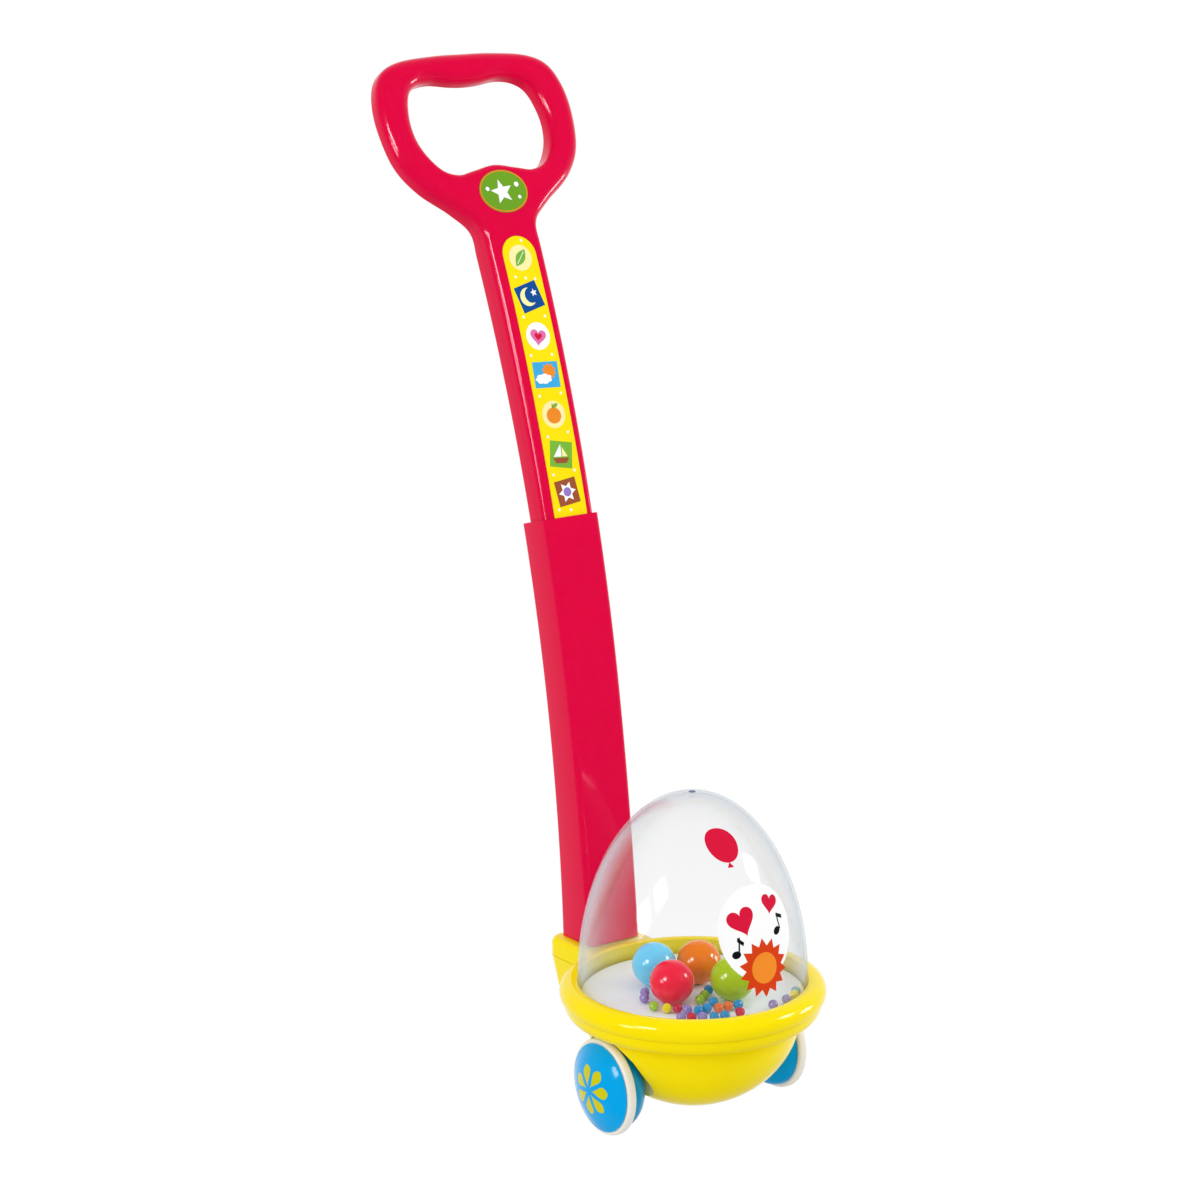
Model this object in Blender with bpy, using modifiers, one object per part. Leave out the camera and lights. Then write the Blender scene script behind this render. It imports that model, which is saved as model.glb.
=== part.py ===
"""A toddler's push toy: two wheels carry a bowl with a clear dome, where balls hop as the toy
is rolled, and a bent handle with a hand opening pushes it from behind.

Lengths are in metres. X runs across the toy, -Y is the way it rolls and +Z is up. Pieces are
placed from the point on the ground under the dome's axis, and the whole toy is then moved so
that its box stands centred over the origin.
"""

import math

import bmesh
import bpy
from mathutils import Matrix, Vector

# Fits
SEAT_GAP = 0.0003
OVERRUN = 0.0040
SEAM_TRIM = 0.0010
WELD = 0.000002
TURN_WELD = 0.00001

# Rim, the upper base shell. Its roll's height and its radius set the rest of the base: a drop
# is measured down from the roll's middle, a lift up from it and a setback in from the radius.
RIM_RADIUS = 0.0750
RIM_ROLL_RADIUS = 0.0071
RIM_ROLL_HEIGHT = 0.0722
RIM_WALL = 0.0019
RIM_SKIRT_DROP = 0.0092
PARTING_DROP = 0.0047
RIM_SKIRT_FOOT = RIM_ROLL_HEIGHT - RIM_SKIRT_DROP
PARTING_HEIGHT = RIM_ROLL_HEIGHT - PARTING_DROP

# Bowl, the lower base shell
BOWL_SETBACK = 0.0150
BOWL_MOUTH_DROP = 0.0162
BOWL_FOOT_HEIGHT = 0.0071
BOWL_FLAT_RADIUS = 0.0120
BOWL_ROUNDNESS = 1.9
BOWL_WALL = 0.0018
BAND_SETBACK = 0.0022
BAND_DROP = 0.0132
SHOULDER_DROP = 0.0113
FLOOR_STOP_DROP = 0.0030
FLOOR_STOP_WIDTH = 0.0018
BOWL_RADIUS = RIM_RADIUS - BOWL_SETBACK
BOWL_MOUTH_HEIGHT = RIM_ROLL_HEIGHT - BOWL_MOUTH_DROP
BAND_RADIUS = RIM_RADIUS - BAND_SETBACK
BAND_FOOT_HEIGHT = RIM_ROLL_HEIGHT - BAND_DROP
SHOULDER_HEIGHT = RIM_ROLL_HEIGHT - SHOULDER_DROP
FLOOR_STOP_HEIGHT = RIM_ROLL_HEIGHT - FLOOR_STOP_DROP

# Clear dome
DOME_SETBACK = 0.0102
DOME_RISE = 0.1090
DOME_LIFT = 0.0064
DOME_WALL = 0.0014
DOME_FLANGE_WIDTH = 0.0012
DOME_FLANGE_THICKNESS = 0.0014
DOME_GATE_RADIUS = 0.0012
DOME_GATE_RISE = 0.0005
DOME_RADIUS = RIM_RADIUS - DOME_SETBACK
DOME_FLANGE_RADIUS = DOME_RADIUS + DOME_FLANGE_WIDTH
DOME_BASE_HEIGHT = RIM_ROLL_HEIGHT + DOME_LIFT

# Hopping floor and its striker
FLOOR_SETBACK = 0.0124
FLOOR_THICKNESS = 0.0015
FLOOR_TRAVEL = 0.0050
FLOOR_BOSS_RADIUS = 0.0080
FLOOR_BOSS_DEPTH = 0.0024
STRIKER_RADIUS = 0.0040
STRIKER_FOOT_RADIUS = 0.0068
STRIKER_FOOT_THICKNESS = 0.0018
SPRING_OUTER_RADIUS = 0.0064
SPRING_LENGTH = 0.0099
SPRING_WIRE = 0.0011
BRIDGE_WIDTH = 0.0140
BRIDGE_THICKNESS = 0.0020
BRIDGE_SETBACK = 0.0280
BRIDGE_DROP = 0.0152
GUIDE_WALL = 0.0018
GUIDE_TOP_DROP = 0.0058
GUIDE_FOOT_DROP = 0.0177
BRIDGE_POST_RADIUS = 0.0036
BRIDGE_POST_SETBACK = 0.0320
FLOOR_RADIUS = RIM_RADIUS - FLOOR_SETBACK
BRIDGE_HALF_LENGTH = RIM_RADIUS - BRIDGE_SETBACK
BRIDGE_POST_REACH = RIM_RADIUS - BRIDGE_POST_SETBACK
BRIDGE_HEIGHT = RIM_ROLL_HEIGHT - BRIDGE_DROP
GUIDE_TOP_HEIGHT = RIM_ROLL_HEIGHT - GUIDE_TOP_DROP
GUIDE_FOOT_HEIGHT = RIM_ROLL_HEIGHT - GUIDE_FOOT_DROP
STRIKER_FOOT_HEIGHT = GUIDE_FOOT_HEIGHT - SPRING_LENGTH - STRIKER_FOOT_THICKNESS - 2.0 * SEAT_GAP

# Wheels, which stand under the band, and the wells that they turn in
WHEEL_HEADROOM = 0.0042
TYRE_SETBACK = 0.0179
TYRE_WIDTH = 0.0053
TYRE_CROWN = 0.0011
TYRE_HEIGHT = 0.0042
WHEEL_FACE_STEP = 0.0022
CAP_BULGE = 0.0080
HUB_DEPTH = 0.0165
WHEEL_WALL = 0.0014
WHEEL_BOSS_RADIUS = 0.0048
SPIGOT_WALL = 0.0015
SPIGOT_REACH = 0.0022
WELL_STEP = 0.0012
WELL_MOUTH_CLEARANCE = 0.0013
WELL_MOUTH_SETBACK = 0.0195
WELL_SHOULDER_SETBACK = 0.0250
WELL_FLOOR_SETBACK = 0.0388
WHEEL_RADIUS = (BAND_FOOT_HEIGHT - WHEEL_HEADROOM) / 2
TYRE_INNER_FACE = RIM_RADIUS - TYRE_SETBACK
TYRE_BORE_RADIUS = WHEEL_RADIUS - TYRE_HEIGHT
WHEEL_FACE_RADIUS = WHEEL_RADIUS - WHEEL_FACE_STEP
WELL_RADIUS = WHEEL_RADIUS - WELL_STEP
WELL_MOUTH_RADIUS = WHEEL_RADIUS + WELL_MOUTH_CLEARANCE
WELL_MOUTH_PLACE = RIM_RADIUS - WELL_MOUTH_SETBACK
WELL_SHOULDER_PLACE = RIM_RADIUS - WELL_SHOULDER_SETBACK
WELL_FLOOR_PLACE = RIM_RADIUS - WELL_FLOOR_SETBACK

# Axle and cam
AXLE_RADIUS = 0.0020
AXLE_SETBACK = 0.0095
AXLE_PLACE = 0.0018
AXLE_BOSS_RADIUS = 0.0045
AXLE_BOSS_LENGTH = 0.0050
CAM_HUB_RADIUS = 0.0065
CAM_WIDTH = 0.0110
CAM_LOBES = 3
CAM_STEPS = 42
AXLE_HALF_LENGTH = RIM_RADIUS - AXLE_SETBACK
CAM_REACH = STRIKER_FOOT_HEIGHT - SEAT_GAP - WHEEL_RADIUS

# Balls and beads
BALL_RADIUS_SHARE = 0.1997
BEAD_RADIUS_SHARE = 0.04393
BEAD_HOP = 0.0200
BALL_RADIUS = FLOOR_RADIUS * BALL_RADIUS_SHARE
BEAD_RADIUS = FLOOR_RADIUS * BEAD_RADIUS_SHARE

# Handle, bent about one axis across the toy. Its two shells sit a little to the front of the
# bend's own line, so that their front is nearly level with the sleeve's.
HANDLE_BEND_RADIUS = 1.0759
HANDLE_FOOT_GAP = 0.0162
HANDLE_FOOT_DROP = 0.0216
GRIP_TOP = 0.5508
GRIP_RISE = 0.1208
GRIP_HALF_WIDTH = 0.0651
GRIP_DEPTH = 0.0150
GRIP_BAR = 0.0159
GRIP_LIMB = 0.0184
HAND_OPENING_HEIGHT = 0.0581
STEM_LENGTH = 0.4008
STEM_TOP_HALF_WIDTH = 0.0182
STEM_TAPER = 0.0020
STEM_HALF_DEPTH = 0.0095
STEM_OFFSET = 0.0020
HANDLE_FRONT_EDGE = 0.0040
HANDLE_REAR_EDGE = 0.0031
HANDLE_WALL = 0.0020
HANDLE_FOOT_PLACE = RIM_RADIUS + HANDLE_FOOT_GAP
HANDLE_FOOT_HEIGHT = RIM_ROLL_HEIGHT - HANDLE_FOOT_DROP
NECK = GRIP_TOP - GRIP_RISE
HAND_OPENING_HALF_WIDTH = GRIP_HALF_WIDTH - GRIP_LIMB
HAND_OPENING_TOP = GRIP_TOP - GRIP_BAR
HAND_OPENING_FOOT = HAND_OPENING_TOP - HAND_OPENING_HEIGHT
STEM_FOOT = GRIP_TOP - STEM_LENGTH
STEM_FOOT_HALF_WIDTH = STEM_TOP_HALF_WIDTH - STEM_TAPER

# Sleeve that the stem plugs into, its stepped spigot and the latch that holds the stem
STEM_IN_SLEEVE = 0.1242
SLEEVE_MARGIN = 0.0005
SLEEVE_TAPER = 0.0010
SLEEVE_FIT = 0.0002
SLEEVE_CORNER = 0.0034
SLEEVE_WALL = 0.0014
SLEEVE_FLARE = 0.0043
SLEEVE_FLARE_DROP = 0.0992
SPIGOT_STEP = 0.0015
SPIGOT_CORNER = 0.0025
LATCH_DROP = 0.0292
LATCH_HALF_WIDTH = 0.0050
LATCH_HALF_HEIGHT = 0.0040
LATCH_SINK = 0.0006
SLEEVE_TOP = STEM_FOOT + STEM_IN_SLEEVE
SLEEVE_FLARE_TOP = SLEEVE_TOP - SLEEVE_FLARE_DROP
SLEEVE_TOP_HALF_WIDTH = STEM_TOP_HALF_WIDTH + SLEEVE_MARGIN
SLEEVE_FOOT_HALF_WIDTH = SLEEVE_TOP_HALF_WIDTH - SLEEVE_TAPER
SLEEVE_HALF_DEPTH = STEM_HALF_DEPTH + STEM_OFFSET + SLEEVE_FIT + SLEEVE_WALL
SPIGOT_HALF_WIDTH = SLEEVE_FOOT_HALF_WIDTH - SPIGOT_STEP
SPIGOT_HALF_DEPTH = SLEEVE_HALF_DEPTH - SPIGOT_STEP
LATCH_PLACE = SLEEVE_TOP - LATCH_DROP
LATCH_RISE = SLEEVE_HALF_DEPTH + STEM_OFFSET - STEM_HALF_DEPTH - LATCH_SINK

# Socket lug behind the bowl
LUG_MARGIN = 0.0078
LUG_TAPER = 0.0025
LUG_REACH = 0.0350
LUG_REAR_TAPER = 0.0045
LUG_LIFT = 0.0066
LUG_DROP = 0.0267
LUG_ROUNDING = 0.0040
LUG_CORNER = 0.0075
LUG_WALL = 0.0022
LUG_SETBACK = 0.0250
SLEEVE_LIFT = 0.0005
LUG_HALF_WIDTH = SPIGOT_HALF_WIDTH + LUG_MARGIN
LUG_FOOT_HALF_WIDTH = LUG_HALF_WIDTH - LUG_TAPER
LUG_FRONT = RIM_RADIUS - LUG_SETBACK
LUG_REAR = RIM_RADIUS + LUG_REACH
LUG_FOOT_REAR = LUG_REAR - LUG_REAR_TAPER
LUG_TOP_HEIGHT = RIM_ROLL_HEIGHT + LUG_LIFT
LUG_FOOT_HEIGHT = RIM_ROLL_HEIGHT - LUG_DROP
SLEEVE_FOOT = LUG_TOP_HEIGHT + SLEEVE_LIFT - HANDLE_FOOT_HEIGHT

# Labels let into the handle
LABEL_MARGIN = 0.0069
LABEL_RISE = 0.0070
LABEL_THICKNESS = 0.0006
LABEL_RECESS = 0.0006
BADGE_MARGIN = 0.0019
BADGE_HEIGHT_SHARE = 0.785
BADGE_DROP = 0.0129
LABEL_HALF_WIDTH = STEM_TOP_HALF_WIDTH - LABEL_MARGIN
LABEL_TOP = NECK + LABEL_RISE
BADGE_HALF_WIDTH = STEM_TOP_HALF_WIDTH - BADGE_MARGIN
BADGE_HALF_HEIGHT = BADGE_HALF_WIDTH * BADGE_HEIGHT_SHARE
BADGE_PLACE = HAND_OPENING_FOOT - BADGE_DROP

# Screws
SCREW_RADIUS = 0.0012
SCREW_HEAD_RADIUS = 0.0022
SCREW_HEAD_THICKNESS = 0.0014
SCREW_LENGTH = 0.0110
SCREW_POST_RADIUS = 0.0033
SCREW_HEAD_SINK = 0.0006
BASE_SCREW_RADIUS = 0.0010
BASE_SCREW_HEAD_RADIUS = 0.0018
BASE_SCREW_LENGTH = 0.0139
BASE_SCREW_SETBACK = 0.0056
BASE_SCREW_HEAD_DROP = 0.0112
BASE_BOSS_RADIUS = 0.0026
BASE_SEAT_RADIUS = 0.0029
BASE_NECK_RADIUS = 0.0020
LUG_SCREW_PLACE = 0.0085
LUG_SCREW_DROP = 0.0142
BASE_SCREW_CIRCLE = RIM_RADIUS - BASE_SCREW_SETBACK
BASE_SCREW_HEAD_HEIGHT = RIM_ROLL_HEIGHT - BASE_SCREW_HEAD_DROP
BASE_SCREW_TOP_HEIGHT = BASE_SCREW_HEAD_HEIGHT - SCREW_HEAD_THICKNESS + BASE_SCREW_LENGTH
LUG_SCREW_HEIGHT = RIM_ROLL_HEIGHT - LUG_SCREW_DROP

# Where round the base its screws are, as shares of a turn from the right-hand side
BASE_SCREW_TURN_SHARES = [-0.085, 0.140, 0.360]

# How finely round shapes are cut
FINE_STEPS = 40
ROUND_STEPS = 26
SMALL_STEPS = 14
SCREW_STEPS = 8
BEND_STEP = 0.0450
GRIP_BEND_STEP = 0.0200

# Outline of the grip from the neck up its right side to the middle of the bar: across as a
# share of the grip's half width, up as a share of the height from neck to top
GRIP_OUTLINE_SHARES = [
    (0.300, 0.125),
    (0.483, 0.221),
    (0.763, 0.333),
    (0.937, 0.467),
    (1.000, 0.650),
    (0.979, 0.805),
    (0.876, 0.921),
    (0.665, 0.978),
    (0.302, 0.998),
    (0.000, 1.000),
]

# Right half of the hand opening, from the middle of its foot round to the middle of its top
OPENING_OUTLINE_SHARES = [
    (0.000, 0.074),
    (0.297, 0.032),
    (0.551, 0.000),
    (0.784, 0.078),
    (0.949, 0.288),
    (1.000, 0.558),
    (0.922, 0.836),
    (0.763, 0.960),
    (0.508, 1.000),
    (0.212, 0.970),
    (0.000, 0.960),
]

# Where the big balls lie, as shares of the floor's radius
BALL_PLACE_SHARES = {
    "ball_blue": (-0.200, 0.312),
    "ball_red": (-0.343, -0.152),
    "ball_orange": (0.160, 0.120),
    "ball_green": (0.144, -0.399),
}

# Where the beads of each colour lie, as shares of the floor's radius
BEAD_PLACE_SHARES = {
    "lime": [(-0.567, -0.204), (-0.166, -0.304), (-0.050, -0.254)],
    "yellow": [(-0.518, -0.326), (0.586, -0.728)],
    "crimson": [(-0.449, -0.377), (-0.065, -0.780), (-0.484, -0.629)],
    "purple": [
        (-0.404, -0.447),
        (0.283, -0.807),
        (0.463, -0.772),
        (-0.558, -0.577),
        (-0.399, -0.676),
        (-0.446, 0.118),
        (-0.527, 0.000),
    ],
    "blue": [
        (-0.335, -0.530),
        (-0.240, -0.527),
        (0.042, -0.610),
        (-0.315, -0.738),
        (-0.222, -0.767),
        (0.056, -0.181),
        (-0.083, -0.439),
    ],
    "orange": [(-0.152, -0.583), (-0.058, -0.599)],
    "teal": [(0.653, -0.663)],
}
BEAD_SETTLE_ROUNDS = 60

# Handle screws: across as a share of the grip's half width, up from the neck as one of its rise
HANDLE_SCREW_SHARES = [(-0.858, 0.6457), (0.858, 0.6457), (0.0, 0.2317), (0.0, -0.8280)]

MATERIALS = {
    "red_plastic": ((0.745, 0.003, 0.058), 0.22, 1.0),
    "yellow_plastic": ((0.905, 0.752, 0.003), 0.24, 1.0),
    "clear_plastic": ((0.930, 0.950, 0.960), 0.06, 0.25),
    "white_plastic": ((0.780, 0.800, 0.820), 0.40, 1.0),
    "wheel_blue": ((0.002, 0.402, 0.730), 0.18, 1.0),
    "cream_tyre": ((0.760, 0.720, 0.630), 0.50, 1.0),
    "steel": ((0.560, 0.560, 0.570), 0.30, 1.0),
    "black_nylon": ((0.030, 0.030, 0.032), 0.50, 1.0),
    "label_yellow": ((0.940, 0.760, 0.003), 0.35, 1.0),
    "badge_green": ((0.156, 0.412, 0.021), 0.35, 1.0),
    "ball_blue": ((0.067, 0.451, 0.753), 0.20, 1.0),
    "ball_red": ((0.716, 0.021, 0.091), 0.20, 1.0),
    "ball_orange": ((0.745, 0.174, 0.002), 0.20, 1.0),
    "ball_green": ((0.254, 0.456, 0.033), 0.20, 1.0),
    "bead_lime": ((0.402, 0.591, 0.030), 0.25, 1.0),
    "bead_yellow": ((0.830, 0.680, 0.010), 0.25, 1.0),
    "bead_crimson": ((0.638, 0.013, 0.051), 0.25, 1.0),
    "bead_purple": ((0.328, 0.258, 0.604), 0.25, 1.0),
    "bead_blue": ((0.017, 0.337, 0.665), 0.25, 1.0),
    "bead_orange": ((0.807, 0.209, 0.044), 0.25, 1.0),
    "bead_teal": ((0.107, 0.423, 0.456), 0.25, 1.0),
}


def clear_scene():
    for old in list(bpy.data.objects):
        bpy.data.objects.remove(old, do_unlink=True)


def new_collection(name):
    collection = bpy.data.collections.new(name)
    bpy.context.scene.collection.children.link(collection)
    return collection


def new_materials():
    made = {}
    for name, (colour, roughness, alpha) in MATERIALS.items():
        material = bpy.data.materials.new(name)
        material.use_nodes = True
        shader = material.node_tree.nodes["Principled BSDF"]
        shader.inputs["Base Color"].default_value = (*colour, 1.0)
        shader.inputs["Roughness"].default_value = roughness
        shader.inputs["Metallic"].default_value = 1.0 if name == "steel" else 0.0
        shader.inputs["Alpha"].default_value = alpha
        made[name] = material
    return made


class Workshop:
    """The collections, the materials and the empty that every piece hangs from."""

    def __init__(self):
        self.parts = new_collection("push_toy")
        self.cutters = new_collection("cutters")
        self.materials = new_materials()
        self.root = bpy.data.objects.new("toy_frame", None)
        self.parts.objects.link(self.root)

    def piece(self, name, mesh, material, parent=None):
        made = bpy.data.objects.new(name, mesh)
        self.parts.objects.link(made)
        mesh.materials.append(self.materials[material])
        made.parent = parent or self.root
        return made

    def cutter(self, name, mesh):
        made = bpy.data.objects.new(name, mesh)
        self.cutters.objects.link(made)
        made.hide_render = True
        made.display_type = "WIRE"
        made.parent = self.root
        return made

    def empty(self, name, place):
        made = bpy.data.objects.new(name, None)
        made.location = place
        made.parent = self.root
        self.parts.objects.link(made)
        return made


def mesh_from(bm, name):
    mesh = bpy.data.meshes.new(name)
    bm.to_mesh(mesh)
    bm.free()
    return mesh


def boolean(target, other, operation, solver="EXACT"):
    modifier = target.modifiers.new(f"{operation.lower()}_{other.name}", "BOOLEAN")
    modifier.operation = operation
    modifier.solver = solver
    modifier.object = other


def cut(target, *others, solver="EXACT"):
    for other in others:
        boolean(target, other, "DIFFERENCE", solver)


def fuse(target, *others):
    for other in others:
        boolean(target, other, "UNION")


def keep(target, other):
    boolean(target, other, "INTERSECT")


def settle(target):
    """Turns an object's modifiers into its mesh, without any slivers that they left."""
    graph = bpy.context.evaluated_depsgraph_get()
    mesh = bpy.data.meshes.new_from_object(target.evaluated_get(graph))
    target.modifiers.clear()
    bm = bmesh.new()
    bm.from_mesh(mesh)
    bmesh.ops.remove_doubles(bm, verts=bm.verts[:], dist=WELD)
    bmesh.ops.dissolve_degenerate(bm, edges=bm.edges[:], dist=WELD)
    bm.to_mesh(mesh)
    bm.free()
    target.data = mesh
    return target


def shade(target):
    target.data.shade_smooth()
    target.data.set_sharp_from_angle(angle=math.radians(35))
    return target


def arc(centre_x, centre_y, radius, start, end, steps):
    """Points along an arc, with its ends in degrees."""
    points = []
    for i in range(steps + 1):
        angle = math.radians(start + (end - start) * i / steps)
        points.append((centre_x + radius * math.cos(angle), centre_y + radius * math.sin(angle)))
    return points


def turned(name, profile, steps, closed):
    """A mesh for a turned shape: its profile of (radius, height) runs down the outer side."""
    bm = bmesh.new()
    corners = [bm.verts.new((radius, 0.0, height)) for radius, height in profile]
    for first, second in zip(corners, corners[1:]):
        bm.edges.new((first, second))
    if closed:
        bm.edges.new((corners[-1], corners[0]))
    return mesh_from(bm, name), steps


def add_screw(target, steps):
    modifier = target.modifiers.new("turn", "SCREW")
    modifier.axis = "Z"
    modifier.angle = math.tau
    modifier.steps = steps
    modifier.render_steps = steps
    modifier.use_merge_vertices = True
    modifier.merge_threshold = TURN_WELD
    return target


def turned_piece(shop, name, profile, material, steps=ROUND_STEPS, closed=True, parent=None):
    mesh, count = turned(name, profile, steps, closed)
    return add_screw(shop.piece(name, mesh, material, parent), count)


def turned_cutter(shop, name, profile, steps=ROUND_STEPS, closed=False):
    mesh, count = turned(name, profile, steps, closed)
    return add_screw(shop.cutter(name, mesh), count)


def box_mesh(name, low, high, corner=0.0, upright_only=False, segments=3):
    """A box between two corners, its edges or only its upright edges rounded."""
    low, high = Vector(low), Vector(high)
    bm = bmesh.new()
    size = high - low
    bmesh.ops.create_cube(bm, size=1.0, matrix=Matrix.Translation((low + high) / 2) @ Matrix.Diagonal((*size, 1.0)))
    if corner:
        edges = bm.edges[:]
        if upright_only:
            edges = [e for e in edges if abs(e.verts[0].co.z - e.verts[1].co.z) > size.z / 2]
        bmesh.ops.bevel(bm, geom=edges, offset=corner, segments=segments, profile=0.5, affect="EDGES")
    return mesh_from(bm, name)


def rod_mesh(name, radius, start, end, steps=SMALL_STEPS):
    """A cylinder from one point to another."""
    start, end = Vector(start), Vector(end)
    way = end - start
    turn = way.to_track_quat("Z", "Y").to_matrix().to_4x4()
    bm = bmesh.new()
    bmesh.ops.create_cone(
        bm,
        cap_ends=True,
        segments=steps,
        radius1=radius,
        radius2=radius,
        depth=way.length,
        matrix=Matrix.Translation((start + end) / 2) @ turn,
    )
    return mesh_from(bm, name)


def ball_mesh(name, radius, around, rings):
    bm = bmesh.new()
    bmesh.ops.create_uvsphere(bm, u_segments=around, v_segments=rings, radius=radius)
    return mesh_from(bm, name)


def screw_mesh(name, head, point, radius, head_radius, head_thickness):
    """A headed screw: its head's outer face at one point, its tip at another."""
    head, point = Vector(head), Vector(point)
    way = point - head
    turn = way.to_track_quat("Z", "Y").to_matrix().to_4x4()
    profile = [
        (0.0, 0.0),
        (head_radius, 0.0),
        (head_radius, head_thickness),
        (radius, head_thickness),
        (radius, way.length),
        (0.0, way.length),
    ]
    bm = bmesh.new()
    rings = []
    for along_radius, along in profile:
        if along_radius == 0.0:
            rings.append([bm.verts.new((0.0, 0.0, along))])
            continue
        ring = []
        for i in range(SCREW_STEPS):
            angle = math.tau * i / SCREW_STEPS
            ring.append(bm.verts.new((along_radius * math.cos(angle), along_radius * math.sin(angle), along)))
        rings.append(ring)
    for lower, upper in zip(rings, rings[1:]):
        for i in range(SCREW_STEPS):
            j = (i + 1) % SCREW_STEPS
            if len(lower) == 1:
                bm.faces.new((lower[0], upper[j], upper[i]))
            elif len(upper) == 1:
                bm.faces.new((lower[i], lower[j], upper[0]))
            else:
                bm.faces.new((lower[i], lower[j], upper[j], upper[i]))
    bmesh.ops.transform(bm, matrix=Matrix.Translation(head) @ turn, verts=bm.verts)
    bmesh.ops.recalc_face_normals(bm, faces=bm.faces)
    return mesh_from(bm, name)


def bowl_height(radius, mouth_radius, foot_height):
    """Height of the bowl's round wall at a distance from its axis."""
    share = min(radius / mouth_radius, 1.0)
    drop = (1.0 - share**BOWL_ROUNDNESS) ** (1.0 / BOWL_ROUNDNESS)
    return BOWL_MOUTH_HEIGHT - (BOWL_MOUTH_HEIGHT - foot_height) * drop


def bowl_wall(mouth_radius, foot_height, steps):
    """Points down the bowl's round wall, from its mouth to the edge of the flat foot."""
    flat_turn = math.acos((BOWL_FLAT_RADIUS / mouth_radius) ** (BOWL_ROUNDNESS / 2.0))
    points = []
    for i in range(steps + 1):
        turn = flat_turn * i / steps
        radius = mouth_radius * math.cos(turn) ** (2.0 / BOWL_ROUNDNESS)
        points.append((radius, bowl_height(radius, mouth_radius, foot_height)))
    return points


def bowl_flat_height():
    return bowl_height(BOWL_FLAT_RADIUS, BOWL_RADIUS, BOWL_FOOT_HEIGHT)


def band_outline(top_height, inset):
    """Points down the band under the parting line and round to the bowl's mouth."""
    drop = PARTING_HEIGHT - BAND_FOOT_HEIGHT - inset
    reach = (BAND_RADIUS - BOWL_RADIUS) * 0.45
    centre = BAND_RADIUS - inset - reach
    points = [(BAND_RADIUS - inset, top_height)]
    for i in range(1, 5):
        turn = math.radians(90.0 * i / 4)
        points.append((centre + reach * math.cos(turn), PARTING_HEIGHT - drop * math.sin(turn)))
    return points


def wheel_place(side):
    return side * (TYRE_INNER_FACE + TYRE_WIDTH / 2)


def axle_centre():
    return Vector((0.0, AXLE_PLACE, WHEEL_RADIUS))


def well_profile(grow, steps):
    """Wheel well turned about the axle, from its floor out to past the wheel."""
    floor = WELL_FLOOR_PLACE - grow
    radius = WELL_RADIUS + grow
    mouth_radius = WELL_MOUTH_RADIUS + grow
    end = RIM_RADIUS + OVERRUN
    profile = [(0.0, end), (mouth_radius, end), (mouth_radius, WELL_MOUTH_PLACE), (radius, WELL_SHOULDER_PLACE)]
    for i in range(1, steps + 1):
        turn = math.radians(90.0 * i / steps)
        profile.append((radius * math.cos(turn), WELL_SHOULDER_PLACE - (WELL_SHOULDER_PLACE - floor) * math.sin(turn)))
    profile[-1] = (0.0, floor)
    return profile


def sideways(target, side):
    """Turns a shape made about Z so that it points out along X, at the axle."""
    target.rotation_euler = (0.0, side * math.radians(90.0), 0.0)
    target.location = axle_centre()
    return target


def lug_mesh(name, grow, front):
    """The lug's outer block, tapered below the parting line, grown or shrunk by a wall."""
    half, rear = LUG_HALF_WIDTH + grow, LUG_REAR + grow
    low, high = LUG_FOOT_HEIGHT - grow, LUG_TOP_HEIGHT + grow
    size = Vector((2.0 * half, rear - front, high - low))
    centre = Vector((0.0, (rear + front) / 2, (high + low) / 2))
    bm = bmesh.new()
    bmesh.ops.create_cube(bm, size=1.0, matrix=Matrix.Translation(centre) @ Matrix.Diagonal((*size, 1.0)))
    upright = [e for e in bm.edges if all(v.co.y > centre.y for v in e.verts)]
    upright = [e for e in upright if abs(e.verts[0].co.z - e.verts[1].co.z) > size.z / 2]
    bmesh.ops.bevel(bm, geom=upright, offset=LUG_CORNER + grow, segments=4, profile=0.5, affect="EDGES")
    across = [e for e in bm.edges if abs(e.verts[0].co.z - e.verts[1].co.z) < SEAT_GAP]
    across = [e for e in across if max(v.co.y for v in e.verts) > centre.y]
    bmesh.ops.bevel(bm, geom=across, offset=LUG_ROUNDING + grow, segments=3, profile=0.5, affect="EDGES")
    bmesh.ops.bisect_plane(
        bm,
        geom=bm.verts[:] + bm.edges[:] + bm.faces[:],
        plane_co=(0.0, 0.0, PARTING_HEIGHT),
        plane_no=(0.0, 0.0, 1.0),
    )
    for vert in bm.verts:
        share = max(PARTING_HEIGHT - vert.co.z, 0.0) / (PARTING_HEIGHT - LUG_FOOT_HEIGHT)
        vert.co.x *= 1.0 - share * (1.0 - LUG_FOOT_HALF_WIDTH / LUG_HALF_WIDTH)
        vert.co.y -= share * (LUG_REAR - LUG_FOOT_REAR) * (vert.co.y - front) / (rear - front)
    return mesh_from(bm, name)


def parting_cutter(shop, name, inner, low, high):
    """A thick ring that trims the base shells, and the lug on them, flat at the parting line."""
    reach = 2.0 * LUG_REAR
    return turned_cutter(shop, name, [(reach, high), (reach, low), (inner, low), (inner, high)], FINE_STEPS, True)


def around_base():
    """Angles of the screws that clamp the rim to the bowl."""
    return [math.tau * share for share in BASE_SCREW_TURN_SHARES]


def base_screw_spots():
    return [
        (BASE_SCREW_CIRCLE * math.cos(angle), BASE_SCREW_CIRCLE * math.sin(angle)) for angle in around_base()
    ]


def lug_screw_spots():
    return [(-LUG_SCREW_PLACE, LUG_SCREW_HEIGHT), (LUG_SCREW_PLACE, LUG_SCREW_HEIGHT)]


def lug_rear_at(height):
    """How far back the lug's tapered rear face is at a height."""
    share = (PARTING_HEIGHT - height) / (PARTING_HEIGHT - LUG_FOOT_HEIGHT)
    return LUG_REAR - (LUG_REAR - LUG_FOOT_REAR) * share


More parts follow.
